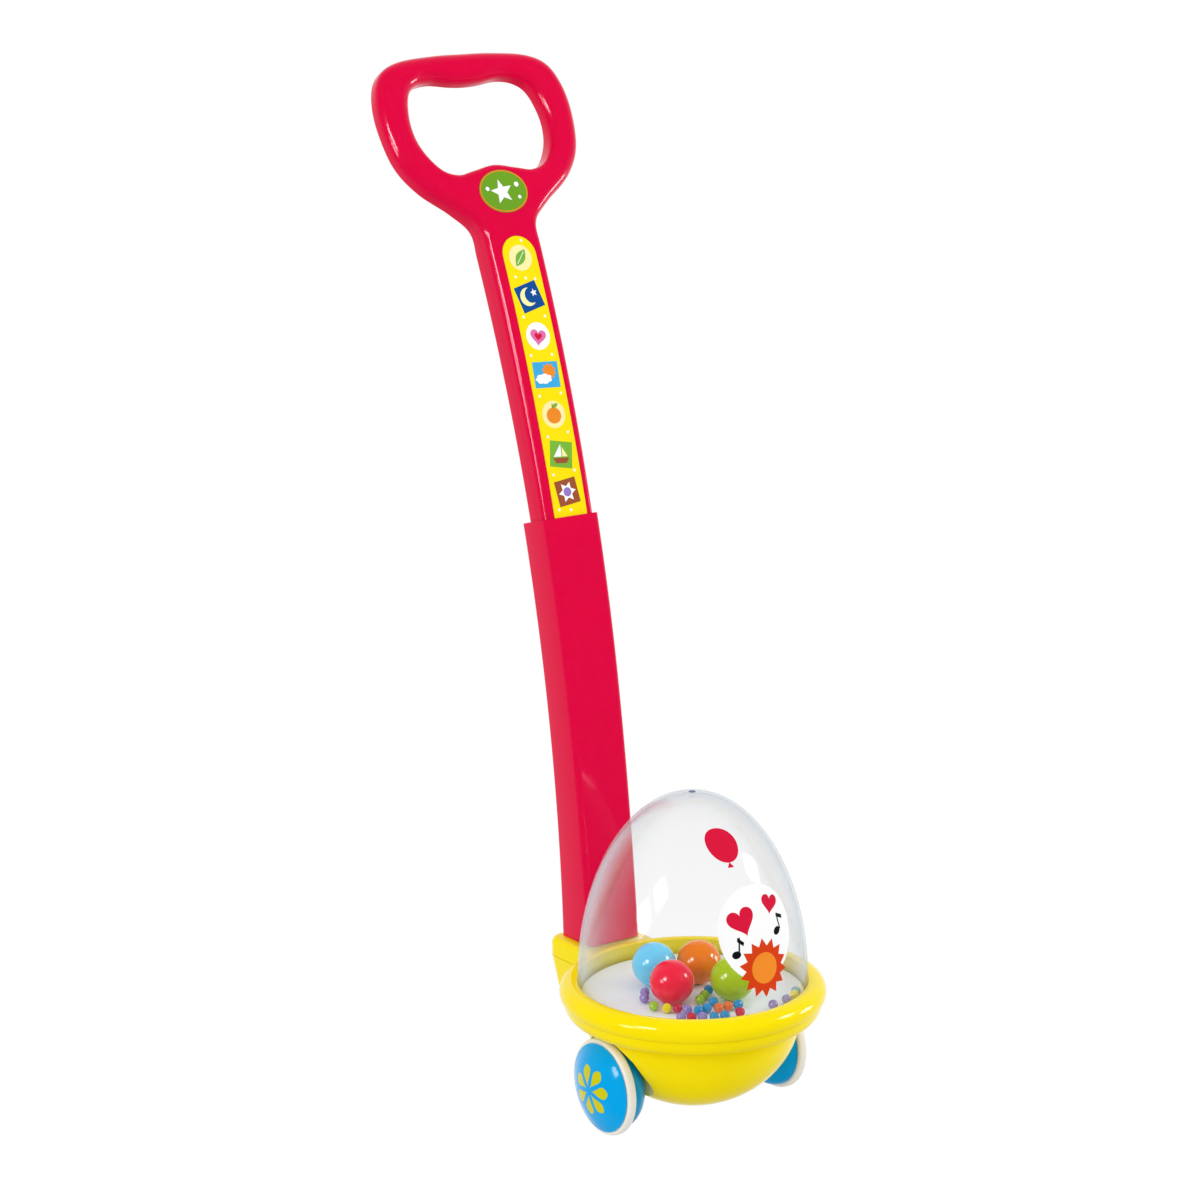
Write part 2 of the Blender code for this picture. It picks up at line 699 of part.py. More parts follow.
def bend_point(across, depth, along):
    """From the flat handle to the bent one: depth is towards the front, along is up it."""
    angle = along / HANDLE_BEND_RADIUS
    radius = HANDLE_BEND_RADIUS + depth
    centre = HANDLE_FOOT_PLACE + HANDLE_BEND_RADIUS
    return Vector((across, centre - radius * math.cos(angle), HANDLE_FOOT_HEIGHT + radius * math.sin(angle)))


def bend_levels(low, high):
    levels = []
    along = BEND_STEP * (math.floor(low / BEND_STEP) + 1)
    while along < high:
        levels.append(along)
        thinning = NECK - GRIP_BEND_STEP < along < HAND_OPENING_FOOT
        along += GRIP_BEND_STEP if thinning else BEND_STEP
    return levels


def bend(target, shape=None):
    """Bends a mesh made flat, as (across, depth, along), once it is sliced finely enough."""
    bm = bmesh.new()
    bm.from_mesh(target.data)
    bmesh.ops.triangulate(bm, faces=bm.faces[:])
    heights = [v.co.z for v in bm.verts]
    for level in bend_levels(min(heights), max(heights)):
        bmesh.ops.bisect_plane(
            bm,
            geom=bm.verts[:] + bm.edges[:] + bm.faces[:],
            dist=WELD,
            plane_co=(0.0, 0.0, level),
            plane_no=(0.0, 0.0, 1.0),
        )
    for vert in bm.verts:
        across, depth, along = vert.co
        if shape:
            across, depth = shape(across, depth, along)
        vert.co = bend_point(across, depth, along)
    joins = [e for e in bm.edges if e.is_manifold and e.calc_face_angle() < math.radians(0.3)]
    bmesh.ops.dissolve_edges(bm, edges=joins, use_verts=False, use_face_split=False)
    bmesh.ops.triangulate(bm, faces=bm.faces[:])
    bmesh.ops.recalc_face_normals(bm, faces=bm.faces[:])
    bm.to_mesh(target.data)
    bm.free()
    return target


def sleeve_shape(across, depth, along):
    """Tapers the sleeve's width down to its foot and flares its front there."""
    share = (along - SLEEVE_FOOT) / (SLEEVE_TOP - SLEEVE_FOOT)
    half = SLEEVE_FOOT_HALF_WIDTH + (SLEEVE_TOP_HALF_WIDTH - SLEEVE_FOOT_HALF_WIDTH) * share
    across *= half / SLEEVE_TOP_HALF_WIDTH
    if depth > 0.0 and along < SLEEVE_FLARE_TOP:
        flare = ((SLEEVE_FLARE_TOP - along) / (SLEEVE_FLARE_TOP - SLEEVE_FOOT)) ** 2
        depth += SLEEVE_FLARE * flare * depth / SLEEVE_HALF_DEPTH
    return across, depth


def grip_shape(across, depth, along):
    """Thins the handle from the rear between neck and grip, and sets it to the bend's front."""
    share = min(max((along - NECK) / (HAND_OPENING_FOOT - NECK), 0.0), 1.0)
    share = share * share * (3.0 - 2.0 * share)
    thin = 1.0 - share * (1.0 - GRIP_DEPTH / (2.0 * STEM_HALF_DEPTH))
    return across, STEM_OFFSET + STEM_HALF_DEPTH - (STEM_HALF_DEPTH - depth) * thin


def smooth_run(points, steps):
    """Points along a smooth curve through the given ones, but for the first and last."""
    run = []
    for before, start, end, after in zip(points, points[1:], points[2:], points[3:]):
        for i in range(steps):
            t = i / steps
            run.append(
                tuple(
                    0.5 * (2 * b + (c - a) * t + (2 * a - 5 * b + 4 * c - d) * t * t + (3 * b - a - 3 * c + d) * t**3)
                    for a, b, c, d in zip(before, start, end, after)
                )
            )
    run.append(points[-2])
    return run


def mirrored(half):
    """A closed outline from its right half, which starts and ends on the middle line."""
    return half + [(-x, y) for x, y in reversed(half) if x > SEAT_GAP]


def stem_half_width(along):
    share = (along - STEM_FOOT) / (NECK - STEM_FOOT)
    return STEM_FOOT_HALF_WIDTH + (STEM_TOP_HALF_WIDTH - STEM_FOOT_HALF_WIDTH) * share


def handle_outline():
    """The flat handle's outer outline, anticlockwise from the middle of its foot."""
    rise = GRIP_TOP - NECK
    below = NECK - GRIP_BEND_STEP
    start = [(stem_half_width(below), below), (STEM_TOP_HALF_WIDTH, NECK)]
    grip = [(GRIP_HALF_WIDTH * across, NECK + rise * up) for across, up in GRIP_OUTLINE_SHARES]
    past = (-grip[-2][0], grip[-2][1])
    half = [(0.0, STEM_FOOT), (STEM_FOOT_HALF_WIDTH, STEM_FOOT)] + smooth_run(start + grip + [past], 2)
    return mirrored(half)


def opening_outline():
    """The hand opening's outline, anticlockwise from the middle of its foot."""
    rise = HAND_OPENING_TOP - HAND_OPENING_FOOT
    half = [(HAND_OPENING_HALF_WIDTH * x, HAND_OPENING_FOOT + rise * y) for x, y in OPENING_OUTLINE_SHARES]
    before = (-half[1][0], half[1][1])
    after = (-half[-2][0], half[-2][1])
    return mirrored(smooth_run([before] + half + [after], 1))


def prism_mesh(name, outlines, start, end, edge=0.0, open_start=False):
    """A flat plate of one outline, or of one with a hole, with the edges of its end face rounded.

    With open_start it has no start face, so that it is a skin to be thickened.
    """
    bm = bmesh.new()
    edges = []
    for outline in outlines:
        corners = [bm.verts.new((x, start, y)) for x, y in outline]
        for first, second in zip(corners, corners[1:] + corners[:1]):
            edges.append(bm.edges.new((first, second)))
    bmesh.ops.triangle_fill(bm, use_beauty=True, use_dissolve=False, edges=edges)
    grown = bmesh.ops.extrude_face_region(bm, geom=bm.faces[:])
    moved = [item for item in grown["geom"] if isinstance(item, bmesh.types.BMVert)]
    bmesh.ops.translate(bm, verts=moved, vec=(0.0, end - start, 0.0))
    bmesh.ops.recalc_face_normals(bm, faces=bm.faces[:])
    if open_start:
        at_start = [face for face in bm.faces if all(abs(v.co.y - start) < SEAT_GAP for v in face.verts)]
        bmesh.ops.delete(bm, geom=at_start, context="FACES")
        bmesh.ops.dissolve_limit(bm, angle_limit=math.radians(1.0), verts=bm.verts[:], edges=bm.edges[:])
    if edge:
        rounded = []
        for candidate in bm.edges:
            if all(abs(v.co.y - end) < SEAT_GAP for v in candidate.verts):
                if candidate.calc_face_angle(0.0) > math.radians(60.0):
                    rounded.append(candidate)
        bmesh.ops.bevel(bm, geom=rounded, offset=edge, segments=2, profile=0.5, affect="EDGES")
    return mesh_from(bm, name)


def ellipse(centre_up, half_width, half_height, steps):
    points = []
    for i in range(steps):
        angle = math.tau * i / steps
        points.append((half_width * math.cos(angle), centre_up + half_height * math.sin(angle)))
    return points


def label_outline(grow):
    half = LABEL_HALF_WIDTH + grow
    centre_up = LABEL_TOP - LABEL_HALF_WIDTH
    foot = SLEEVE_TOP + 2.0 * SEAT_GAP - grow
    top = [(half * math.cos(math.pi * i / 10), centre_up + half * math.sin(math.pi * i / 10)) for i in range(11)]
    return [(-half, foot), (half, foot)] + top


def handle_screw_spots():
    return [(across * GRIP_HALF_WIDTH, NECK + up * GRIP_RISE) for across, up in HANDLE_SCREW_SHARES]


def build_handle_shell(shop, name, face):
    """The front (face = 1) or rear (face = -1) half of the handle, made flat and then bent."""
    outer, hole = handle_outline(), opening_outline()
    skin = face * STEM_HALF_DEPTH
    edge = HANDLE_FRONT_EDGE if face > 0 else HANDLE_REAR_EDGE
    seam = face * SEAT_GAP / 2
    open_skin = prism_mesh(name, [outer, hole], seam - face * SEAM_TRIM, skin, edge, True)
    shell = shop.piece(name, open_skin, "red_plastic")
    thicken = shell.modifiers.new("wall", "SOLIDIFY")
    thicken.thickness = HANDLE_WALL
    thicken.offset = -1.0
    thicken.use_even_offset = True
    posts, bores = [], []
    for across, along in handle_screw_spots():
        middle = face * (STEM_HALF_DEPTH - HANDLE_WALL / 2)
        start = seam - face * OVERRUN / 2
        posts.append(rod_mesh("post", SCREW_POST_RADIUS, (across, start, along), (across, middle, along)))
        bore_end = face * (STEM_HALF_DEPTH + OVERRUN) if face < 0 else screw_tip_depth() + SEAT_GAP
        bores.append(
            rod_mesh("bore", SCREW_RADIUS + SEAT_GAP, (across, -face * OVERRUN, along), (across, bore_end, along))
        )
        if face < 0:
            sink = -STEM_HALF_DEPTH + SCREW_HEAD_SINK + SCREW_HEAD_THICKNESS + SEAT_GAP
            bores.append(
                rod_mesh(
                    "sink",
                    SCREW_HEAD_RADIUS + SEAT_GAP,
                    (across, -STEM_HALF_DEPTH - OVERRUN, along),
                    (across, sink, along),
                )
            )
    settle(shell)
    for i, post in enumerate(posts):
        fuse(shell, shop.cutter(f"{name}_post_{i}", post))
    reach = 2.0 * GRIP_HALF_WIDTH
    ends = sorted((seam, -face * SLEEVE_HALF_DEPTH))
    half_space = box_mesh(f"{name}_seam", (-reach, ends[0], 0.0), (reach, ends[1], GRIP_TOP + reach))
    cut(shell, shop.cutter(f"{name}_seam", half_space))
    settle(shell)
    for i, bore in enumerate(bores):
        cut(shell, shop.cutter(f"{name}_bore_{i}", bore), solver="MANIFOLD")
    settle(shell)
    if face > 0:
        floor = STEM_HALF_DEPTH - LABEL_RECESS
        for spot, outline in (
            ("label", label_outline(SEAT_GAP)),
            ("badge", ellipse(BADGE_PLACE, BADGE_HALF_WIDTH + SEAT_GAP, BADGE_HALF_HEIGHT + SEAT_GAP, 24)),
        ):
            recess = prism_mesh(f"{spot}_recess", [outline], floor, STEM_HALF_DEPTH + OVERRUN)
            cut(shell, shop.cutter(f"{spot}_recess", recess))
    else:
        low = (-LATCH_HALF_WIDTH, -STEM_HALF_DEPTH - LATCH_RISE, LATCH_PLACE - LATCH_HALF_HEIGHT)
        high = (LATCH_HALF_WIDTH, -STEM_HALF_DEPTH + HANDLE_WALL / 2, LATCH_PLACE + LATCH_HALF_HEIGHT)
        fuse(shell, shop.cutter("latch_bump", box_mesh("latch_bump", low, high)))
    settle(shell)
    return shade(bend(shell, grip_shape))


def screw_tip_depth():
    return -STEM_HALF_DEPTH + SCREW_HEAD_SINK + SCREW_LENGTH


def build_handle_labels(shop):
    low = STEM_HALF_DEPTH - LABEL_RECESS + SEAT_GAP
    high = low + LABEL_THICKNESS
    strip = shop.piece("label_strip", prism_mesh("label_strip", [label_outline(0.0)], low, high), "label_yellow")
    badge_outline = ellipse(BADGE_PLACE, BADGE_HALF_WIDTH, BADGE_HALF_HEIGHT, 24)
    badge = shop.piece("oval_badge", prism_mesh("oval_badge", [badge_outline], low, high), "badge_green")
    return [bend(strip, grip_shape), bend(badge, grip_shape)]


def build_handle_screws(shop):
    for i, (across, along) in enumerate(handle_screw_spots()):
        head = (across, -STEM_HALF_DEPTH + SCREW_HEAD_SINK, along)
        tip = (across, screw_tip_depth(), along)
        mesh = screw_mesh("handle_screw", head, tip, SCREW_RADIUS, SCREW_HEAD_RADIUS, SCREW_HEAD_THICKNESS)
        bend(shop.piece(f"handle_screw_{i + 1}", mesh, "steel"), grip_shape)


def build_sleeve(shop):
    """The curved tube that the stem plugs into, with a stepped spigot for the lug's socket."""
    half = SLEEVE_TOP_HALF_WIDTH
    tube = shop.piece(
        "handle_sleeve",
        box_mesh(
            "handle_sleeve",
            (-half, -SLEEVE_HALF_DEPTH, SLEEVE_FOOT),
            (half, SLEEVE_HALF_DEPTH, SLEEVE_TOP),
            SLEEVE_CORNER,
            True,
        ),
        "red_plastic",
    )
    bore_half, bore_depth = half - SLEEVE_WALL, SLEEVE_HALF_DEPTH - SLEEVE_WALL
    bore = box_mesh(
        "sleeve_bore",
        (-bore_half, -bore_depth, SLEEVE_FOOT + SLEEVE_WALL),
        (bore_half, bore_depth, SLEEVE_TOP + OVERRUN),
        SLEEVE_CORNER - SLEEVE_WALL,
        True,
        2,
    )
    cut(tube, shop.cutter("sleeve_bore", bore))
    slack = SEAT_GAP
    window = box_mesh(
        "latch_window",
        (-LATCH_HALF_WIDTH - slack, -SLEEVE_HALF_DEPTH - OVERRUN, LATCH_PLACE - LATCH_HALF_HEIGHT - slack),
        (LATCH_HALF_WIDTH + slack, -bore_depth + OVERRUN / 4, LATCH_PLACE + LATCH_HALF_HEIGHT + slack),
    )
    cut(tube, shop.cutter("latch_window", window))
    bend(settle(tube), sleeve_shape)
    spigot = shop.cutter("sleeve_spigot", spigot_mesh("sleeve_spigot", 0.0, SLEEVE_FOOT + SLEEVE_WALL / 2))
    core = shop.cutter("sleeve_spigot_core", spigot_mesh("core", -SLEEVE_WALL, SLEEVE_FOOT - SLEEVE_WALL, OVERRUN))
    cut(spigot, core)
    bend(settle(spigot))
    fuse(tube, spigot)
    for i, (across, height) in enumerate(lug_screw_spots()):
        bore_mesh = lug_screw_bore(across, height, SCREW_RADIUS + SEAT_GAP)
        cut(tube, shop.cutter(f"sleeve_screw_bore_{i}", bore_mesh))
    return tube


def lug_screw_bore(across, height, radius):
    front = HANDLE_FOOT_PLACE
    return rod_mesh("lug_screw_bore", radius, (across, LUG_REAR + OVERRUN, height), (across, front, height))


def spigot_foot():
    """How far along the handle the spigot's foot is, on the lug's floor."""
    return LUG_FOOT_HEIGHT + LUG_WALL + SEAT_GAP - HANDLE_FOOT_HEIGHT


def spigot_mesh(name, grow, top, extra=0.0):
    half, depth = SPIGOT_HALF_WIDTH + grow, SPIGOT_HALF_DEPTH + grow
    low = (-half, -depth, spigot_foot() - extra)
    return box_mesh(name, low, (half, depth, top), SPIGOT_CORNER + grow, True, 2)


def build_rim(shop):
    """The upper base shell: a fat hollow roll round the dome and the top of the lug."""
    centre = RIM_RADIUS - RIM_ROLL_RADIUS
    bore = DOME_RADIUS + SEAT_GAP
    skirt = bore + RIM_WALL
    foot = PARTING_HEIGHT + SEAT_GAP / 2
    trimmed = foot - OVERRUN / 4
    inner_radius = RIM_ROLL_RADIUS - RIM_WALL
    foot_turn = math.degrees(math.asin((trimmed - RIM_ROLL_HEIGHT) / RIM_ROLL_RADIUS))
    top_turn = math.degrees(math.acos((bore - centre) / RIM_ROLL_RADIUS))
    inner_foot_turn = -80.0
    inner_top_turn = math.degrees(math.acos((skirt - centre) / inner_radius))
    outside = arc(centre, RIM_ROLL_HEIGHT, RIM_ROLL_RADIUS, top_turn, foot_turn, 8)
    inside = arc(centre, RIM_ROLL_HEIGHT, inner_radius, inner_foot_turn, inner_top_turn, 5)
    inside = [point for point in inside if point[1] > trimmed]
    profile = outside + [(inside[0][0], trimmed)] + inside + [(skirt, RIM_SKIRT_FOOT), (bore, RIM_SKIRT_FOOT)]
    rim = settle(turned_piece(shop, "rim_shell", profile, "yellow_plastic", FINE_STEPS))

    lug = shop.cutter("upper_lug", lug_mesh("upper_lug", 0.0, LUG_FRONT))
    cut(lug, shop.cutter("upper_lug_core", lug_mesh("upper_lug_core", -LUG_WALL, LUG_FRONT - OVERRUN)))
    middle = RIM_ROLL_RADIUS - RIM_WALL / 2
    front = [(0.0, LUG_TOP_HEIGHT + OVERRUN), (centre, LUG_TOP_HEIGHT + OVERRUN)]
    front += arc(centre, RIM_ROLL_HEIGHT, middle, 90.0, 0.0, 6)
    front += [(centre + middle, LUG_FOOT_HEIGHT - OVERRUN), (0.0, LUG_FOOT_HEIGHT - OVERRUN)]
    cut(lug, turned_cutter(shop, "upper_lug_front", front, FINE_STEPS))
    fuse(rim, settle(lug))
    for i, (x, y) in enumerate(base_screw_spots()):
        top = RIM_ROLL_HEIGHT + (inner_radius + RIM_WALL / 4)
        boss = rod_mesh("rim_boss", BASE_BOSS_RADIUS, (x, y, trimmed - SEAT_GAP), (x, y, top))
        fuse(rim, shop.cutter(f"rim_boss_{i}", boss))
    below = LUG_FOOT_HEIGHT - OVERRUN
    cut(rim, parting_cutter(shop, "rim_parting", skirt + SEAT_GAP / 2, below, foot))
    settle(rim)
    hole = shop.cutter("socket_mouth", spigot_mesh("socket_mouth", SEAT_GAP, SLEEVE_FOOT + OVERRUN, OVERRUN))
    cut(rim, bend(hole))
    for i, (x, y) in enumerate(base_screw_spots()):
        top = BASE_SCREW_TOP_HEIGHT + SEAT_GAP
        bore_mesh = rod_mesh(
            "rim_bore", BASE_SCREW_RADIUS + SEAT_GAP, (x, y, BAND_FOOT_HEIGHT), (x, y, top), SCREW_STEPS
        )
        cut(rim, shop.cutter(f"rim_bore_{i}", bore_mesh))
    return rim


def bowl_shell_profile():
    """The lower shell's section, from the axis up its inner side and down its outer side."""
    top = PARTING_HEIGHT + OVERRUN / 4
    inner_mouth = BOWL_RADIUS - BOWL_WALL
    inner = bowl_wall(inner_mouth, BOWL_FOOT_HEIGHT + BOWL_WALL, 6)
    flat_inner = bowl_height(BOWL_FLAT_RADIUS, inner_mouth, BOWL_FOOT_HEIGHT + BOWL_WALL)
    stop_outer = inner_mouth + FLOOR_STOP_WIDTH
    inner_band = band_outline(top, BOWL_WALL)
    profile = [(0.0, flat_inner)] + list(reversed(inner))
    profile += [(inner_mouth, FLOOR_STOP_HEIGHT), (stop_outer, FLOOR_STOP_HEIGHT), (stop_outer, SHOULDER_HEIGHT)]
    profile += list(reversed(inner_band))
    profile += band_outline(top, 0.0)
    profile += bowl_wall(BOWL_RADIUS, BOWL_FOOT_HEIGHT, 9)
    profile += [(0.0, bowl_flat_height())]
    return profile


def build_bowl(shop):
    """The lower base shell: bowl, wheel wells, bridge posts and the foot of the lug."""
    bowl = turned_piece(shop, "bowl_shell", bowl_shell_profile(), "yellow_plastic", FINE_STEPS, closed=False)
    settle(bowl)

    lug = shop.cutter("lower_lug", lug_mesh("lower_lug", 0.0, LUG_FRONT))
    cut(lug, shop.cutter("lower_lug_core", lug_mesh("lower_lug_core", -LUG_WALL, LUG_FRONT - OVERRUN)))
    middle = BOWL_WALL / 2
    front = [(0.0, LUG_TOP_HEIGHT + OVERRUN)]
    for radius, height in band_outline(LUG_TOP_HEIGHT + OVERRUN, 0.0):
        front.append((radius - middle, height))
    front += bowl_wall(BOWL_RADIUS - middle, BOWL_FOOT_HEIGHT + middle, 8)
    front += [(0.0, bowl_flat_height() + middle)]
    cut(lug, turned_cutter(shop, "lower_lug_front", front, FINE_STEPS))
    fuse(bowl, settle(lug))

    for i, (across, height) in enumerate(lug_screw_spots()):
        start = HANDLE_FOOT_PLACE + SPIGOT_HALF_DEPTH + SEAT_GAP + spigot_lean(height)
        end = lug_rear_at(height) - LUG_WALL / 2
        post = rod_mesh("lug_post", SCREW_POST_RADIUS, (across, start, height), (across, end, height))
        fuse(bowl, shop.cutter(f"lug_post_{i}", post))
    for side in (-1, 1):
        lining = turned_cutter(shop, f"well_lining_{side}", well_profile(BOWL_WALL, 4), ROUND_STEPS)
        sideways(lining, side)
        keep(lining, shop.cutter(f"well_keep_{side}", bowl_core_mesh(shop, side)))
        settle(lining)
        fuse(bowl, lining)
    for side in (-1, 1):
        place = (0.0, side * BRIDGE_POST_REACH, BOWL_MOUTH_HEIGHT - SEAT_GAP)
        outer_reach = BRIDGE_POST_REACH + BRIDGE_POST_RADIUS
        foot = bowl_height(outer_reach, BOWL_RADIUS, BOWL_FOOT_HEIGHT) + BOWL_WALL / 2
        post = rod_mesh("bridge_post", BRIDGE_POST_RADIUS, (0.0, side * BRIDGE_POST_REACH, foot), place)
        fuse(bowl, shop.cutter(f"bridge_post_{side}", post))
        boss = rod_mesh(
            "axle_boss",
            AXLE_BOSS_RADIUS,
            axle_centre() + Vector((side * (WELL_FLOOR_PLACE - AXLE_BOSS_LENGTH), 0.0, 0.0)),
            axle_centre() + Vector((side * (WELL_FLOOR_PLACE - BOWL_WALL / 2), 0.0, 0.0)),
        )
        fuse(bowl, shop.cutter(f"axle_boss_{side}", boss))
    seat_low = BAND_FOOT_HEIGHT + BOWL_WALL / 2
    for i, (x, y) in enumerate(base_screw_spots()):
        seat = rod_mesh("bowl_seat", BASE_SEAT_RADIUS, (x, y, seat_low), (x, y, RIM_SKIRT_FOOT - SEAT_GAP))
        neck_low = (x, y, seat_low + SEAT_GAP)
        neck = rod_mesh("bowl_neck", BASE_NECK_RADIUS, neck_low, (x, y, PARTING_HEIGHT + OVERRUN))
        fuse(bowl, shop.cutter(f"bowl_seat_{i}", seat), shop.cutter(f"bowl_neck_{i}", neck))
    parting = PARTING_HEIGHT - SEAT_GAP / 2
    inner = (BOWL_RADIUS + BAND_RADIUS) / 2 - RIM_WALL
    settle(bowl)
    trim = settle(parting_cutter(shop, "bowl_parting", inner, parting, LUG_TOP_HEIGHT + OVERRUN))
    cut(bowl, trim, solver="MANIFOLD")
    settle(bowl)
    for side in (-1, 1):
        well = turned_cutter(shop, f"well_{side}", well_profile(0.0, 5), ROUND_STEPS)
        cut(bowl, sideways(well, side))
        spot = (0.0, side * BRIDGE_POST_REACH, BOWL_MOUTH_HEIGHT)
        bore = rod_mesh("bridge_bore", SCREW_RADIUS + SEAT_GAP, spot, bridge_screw_tip(side), SCREW_STEPS)
        cut(bowl, shop.cutter(f"bridge_bore_{side}", bore))
    reach = Vector((RIM_RADIUS, 0.0, 0.0))
    axle_bore = rod_mesh("axle_bore", AXLE_RADIUS + SEAT_GAP, axle_centre() - reach, axle_centre() + reach)
    cut(bowl, shop.cutter("axle_bore", axle_bore))
    settle(bowl)
    for i, (x, y) in enumerate(base_screw_spots()):
        bore = rod_mesh(
            "bowl_bore", BASE_SCREW_RADIUS + SEAT_GAP, (x, y, BAND_FOOT_HEIGHT - OVERRUN), (x, y, RIM_ROLL_HEIGHT), SCREW_STEPS
        )
        sink = rod_mesh(
            "bowl_sink",
            BASE_SCREW_HEAD_RADIUS + SEAT_GAP,
            (x, y, BAND_FOOT_HEIGHT - OVERRUN),
            (x, y, BASE_SCREW_HEAD_HEIGHT + SEAT_GAP),
            SCREW_STEPS,
        )
        cut(bowl, shop.cutter(f"bowl_bore_{i}", bore), solver="MANIFOLD")
        cut(bowl, shop.cutter(f"bowl_sink_{i}", sink), solver="MANIFOLD")
    for i, (across, height) in enumerate(lug_screw_spots()):
        bore = lug_screw_bore(across, height, SCREW_RADIUS + SEAT_GAP)
        cut(bowl, shop.cutter(f"lug_bore_{i}", bore), solver="MANIFOLD")
        rear = lug_rear_at(height)
        sink = rod_mesh(
            "lug_sink",
            SCREW_HEAD_RADIUS + SEAT_GAP,
            (across, rear + OVERRUN, height),
            (across, rear - SCREW_HEAD_SINK - SCREW_HEAD_THICKNESS - SEAT_GAP, height),
        )
        cut(bowl, shop.cutter(f"lug_sink_{i}", sink), solver="MANIFOLD")
    return settle(bowl)


def spigot_lean(height):
    """How far the bent spigot's rear has moved back at a height."""
    return bend_point(0.0, 0.0, height - HANDLE_FOOT_HEIGHT).y - HANDLE_FOOT_PLACE


def bowl_core_mesh(shop, side):
    """A solid that fills one side of the bowl to the middle of its wall."""
    middle = BOWL_WALL / 2
    profile = [(0.0, BOWL_MOUTH_HEIGHT + middle), (BOWL_RADIUS - middle, BOWL_MOUTH_HEIGHT + middle)]
    profile += bowl_wall(BOWL_RADIUS - middle, BOWL_FOOT_HEIGHT + middle, 8)
    profile += [(0.0, bowl_flat_height() + middle)]
    return settle(turned_cutter(shop, f"bowl_core_{side}", profile, FINE_STEPS)).data


def bridge_screw_tip(side):
    return (0.0, side * BRIDGE_POST_REACH, BRIDGE_HEIGHT + BRIDGE_THICKNESS - SCREW_LENGTH)


def build_dome(shop):
    """The clear dome with the flange that the rim clamps."""
    flange_foot = SHOULDER_HEIGHT + SEAT_GAP
    flange_top = flange_foot + DOME_FLANGE_THICKNESS
    tip = DOME_BASE_HEIGHT + DOME_RISE
    outside = [(0.0, tip + DOME_GATE_RISE), (DOME_GATE_RADIUS, tip + DOME_GATE_RISE)]
    for i in range(1, 11):
        turn = math.radians(90.0 * i / 10)
        outside.append((DOME_RADIUS * math.sin(turn), DOME_BASE_HEIGHT + DOME_RISE * math.cos(turn)))
    outside.insert(2, (DOME_GATE_RADIUS, tip - SEAT_GAP))
    inner = DOME_RADIUS - DOME_WALL
    outside += [(DOME_RADIUS, flange_top), (DOME_FLANGE_RADIUS, flange_top)]
    outside += [(DOME_FLANGE_RADIUS, flange_foot), (inner, flange_foot)]
    inside = []
    for i in range(9):
        turn = math.radians(90.0 * (1.0 - i / 8))
        inside.append((inner * math.sin(turn), DOME_BASE_HEIGHT + (DOME_RISE - DOME_WALL) * math.cos(turn)))
    inside[-1] = (0.0, tip - DOME_WALL)
    dome = turned_piece(shop, "dome", outside + inside, "clear_plastic", FINE_STEPS, closed=False)
    return dome


def floor_foot():
    return FLOOR_STOP_HEIGHT + SEAT_GAP


def floor_top():
    return floor_foot() + FLOOR_THICKNESS


def striker_foot():
    """Height of the striker's foot, just clear of the cam's highest reach."""
    return STRIKER_FOOT_HEIGHT


def build_floor(shop, parent):
    bore = STRIKER_RADIUS + SEAT_GAP
    foot = floor_foot()
    profile = [
        (0.0, floor_top()),
        (FLOOR_RADIUS, floor_top()),
        (FLOOR_RADIUS, foot),
        (FLOOR_BOSS_RADIUS, foot),
        (FLOOR_BOSS_RADIUS, foot - FLOOR_BOSS_DEPTH),
        (bore, foot - FLOOR_BOSS_DEPTH),
        (bore, foot),
        (0.0, foot),
    ]
    return turned_piece(shop, "hopping_floor", profile, "white_plastic", FINE_STEPS, closed=False, parent=parent)


def build_striker(shop, parent):
    foot = striker_foot()
    collar = foot + STRIKER_FOOT_THICKNESS
    profile = [
        (0.0, floor_foot() - SEAT_GAP),
        (STRIKER_RADIUS, floor_foot() - SEAT_GAP),
        (STRIKER_RADIUS, collar),
        (STRIKER_FOOT_RADIUS, collar),
        (STRIKER_FOOT_RADIUS, foot),
        (0.0, foot),
    ]
    return turned_piece(shop, "striker", profile, "black_nylon", SMALL_STEPS, closed=False, parent=parent)


def build_spring(shop):
    low = striker_foot() + STRIKER_FOOT_THICKNESS + SEAT_GAP
    high = GUIDE_FOOT_HEIGHT - SEAT_GAP
    inner = SPRING_OUTER_RADIUS - SPRING_WIRE
    profile = [(SPRING_OUTER_RADIUS, high), (SPRING_OUTER_RADIUS, low), (inner, low), (inner, high)]
    return turned_piece(shop, "striker_spring", profile, "steel", SMALL_STEPS)


def build_bridge(shop):
    """The bar across the bowl that guides the striker."""
    half = BRIDGE_WIDTH / 2
    low = (-half, -BRIDGE_HALF_LENGTH, BRIDGE_HEIGHT - SEAT_GAP)
    high = (half, BRIDGE_HALF_LENGTH, BRIDGE_HEIGHT + BRIDGE_THICKNESS)
    bridge = shop.piece("striker_bridge", box_mesh("striker_bridge", low, high), "black_nylon")
    bore = STRIKER_RADIUS + SEAT_GAP
    tube = rod_mesh("guide", bore + GUIDE_WALL, (0.0, 0.0, GUIDE_FOOT_HEIGHT), (0.0, 0.0, GUIDE_TOP_HEIGHT))
    fuse(bridge, shop.cutter("guide", tube))
    hole = rod_mesh(
        "guide_bore", bore, (0.0, 0.0, GUIDE_FOOT_HEIGHT - OVERRUN), (0.0, 0.0, GUIDE_TOP_HEIGHT + OVERRUN)
    )
    cut(bridge, shop.cutter("guide_bore", hole))
    for side in (-1, 1):
        spot = (0.0, side * BRIDGE_POST_REACH, BRIDGE_HEIGHT + BRIDGE_THICKNESS + OVERRUN)
        bore_mesh = rod_mesh("bridge_hole", SCREW_RADIUS + SEAT_GAP, spot, bridge_screw_tip(side), SCREW_STEPS)
        cut(bridge, shop.cutter(f"bridge_hole_{side}", bore_mesh))
    return bridge


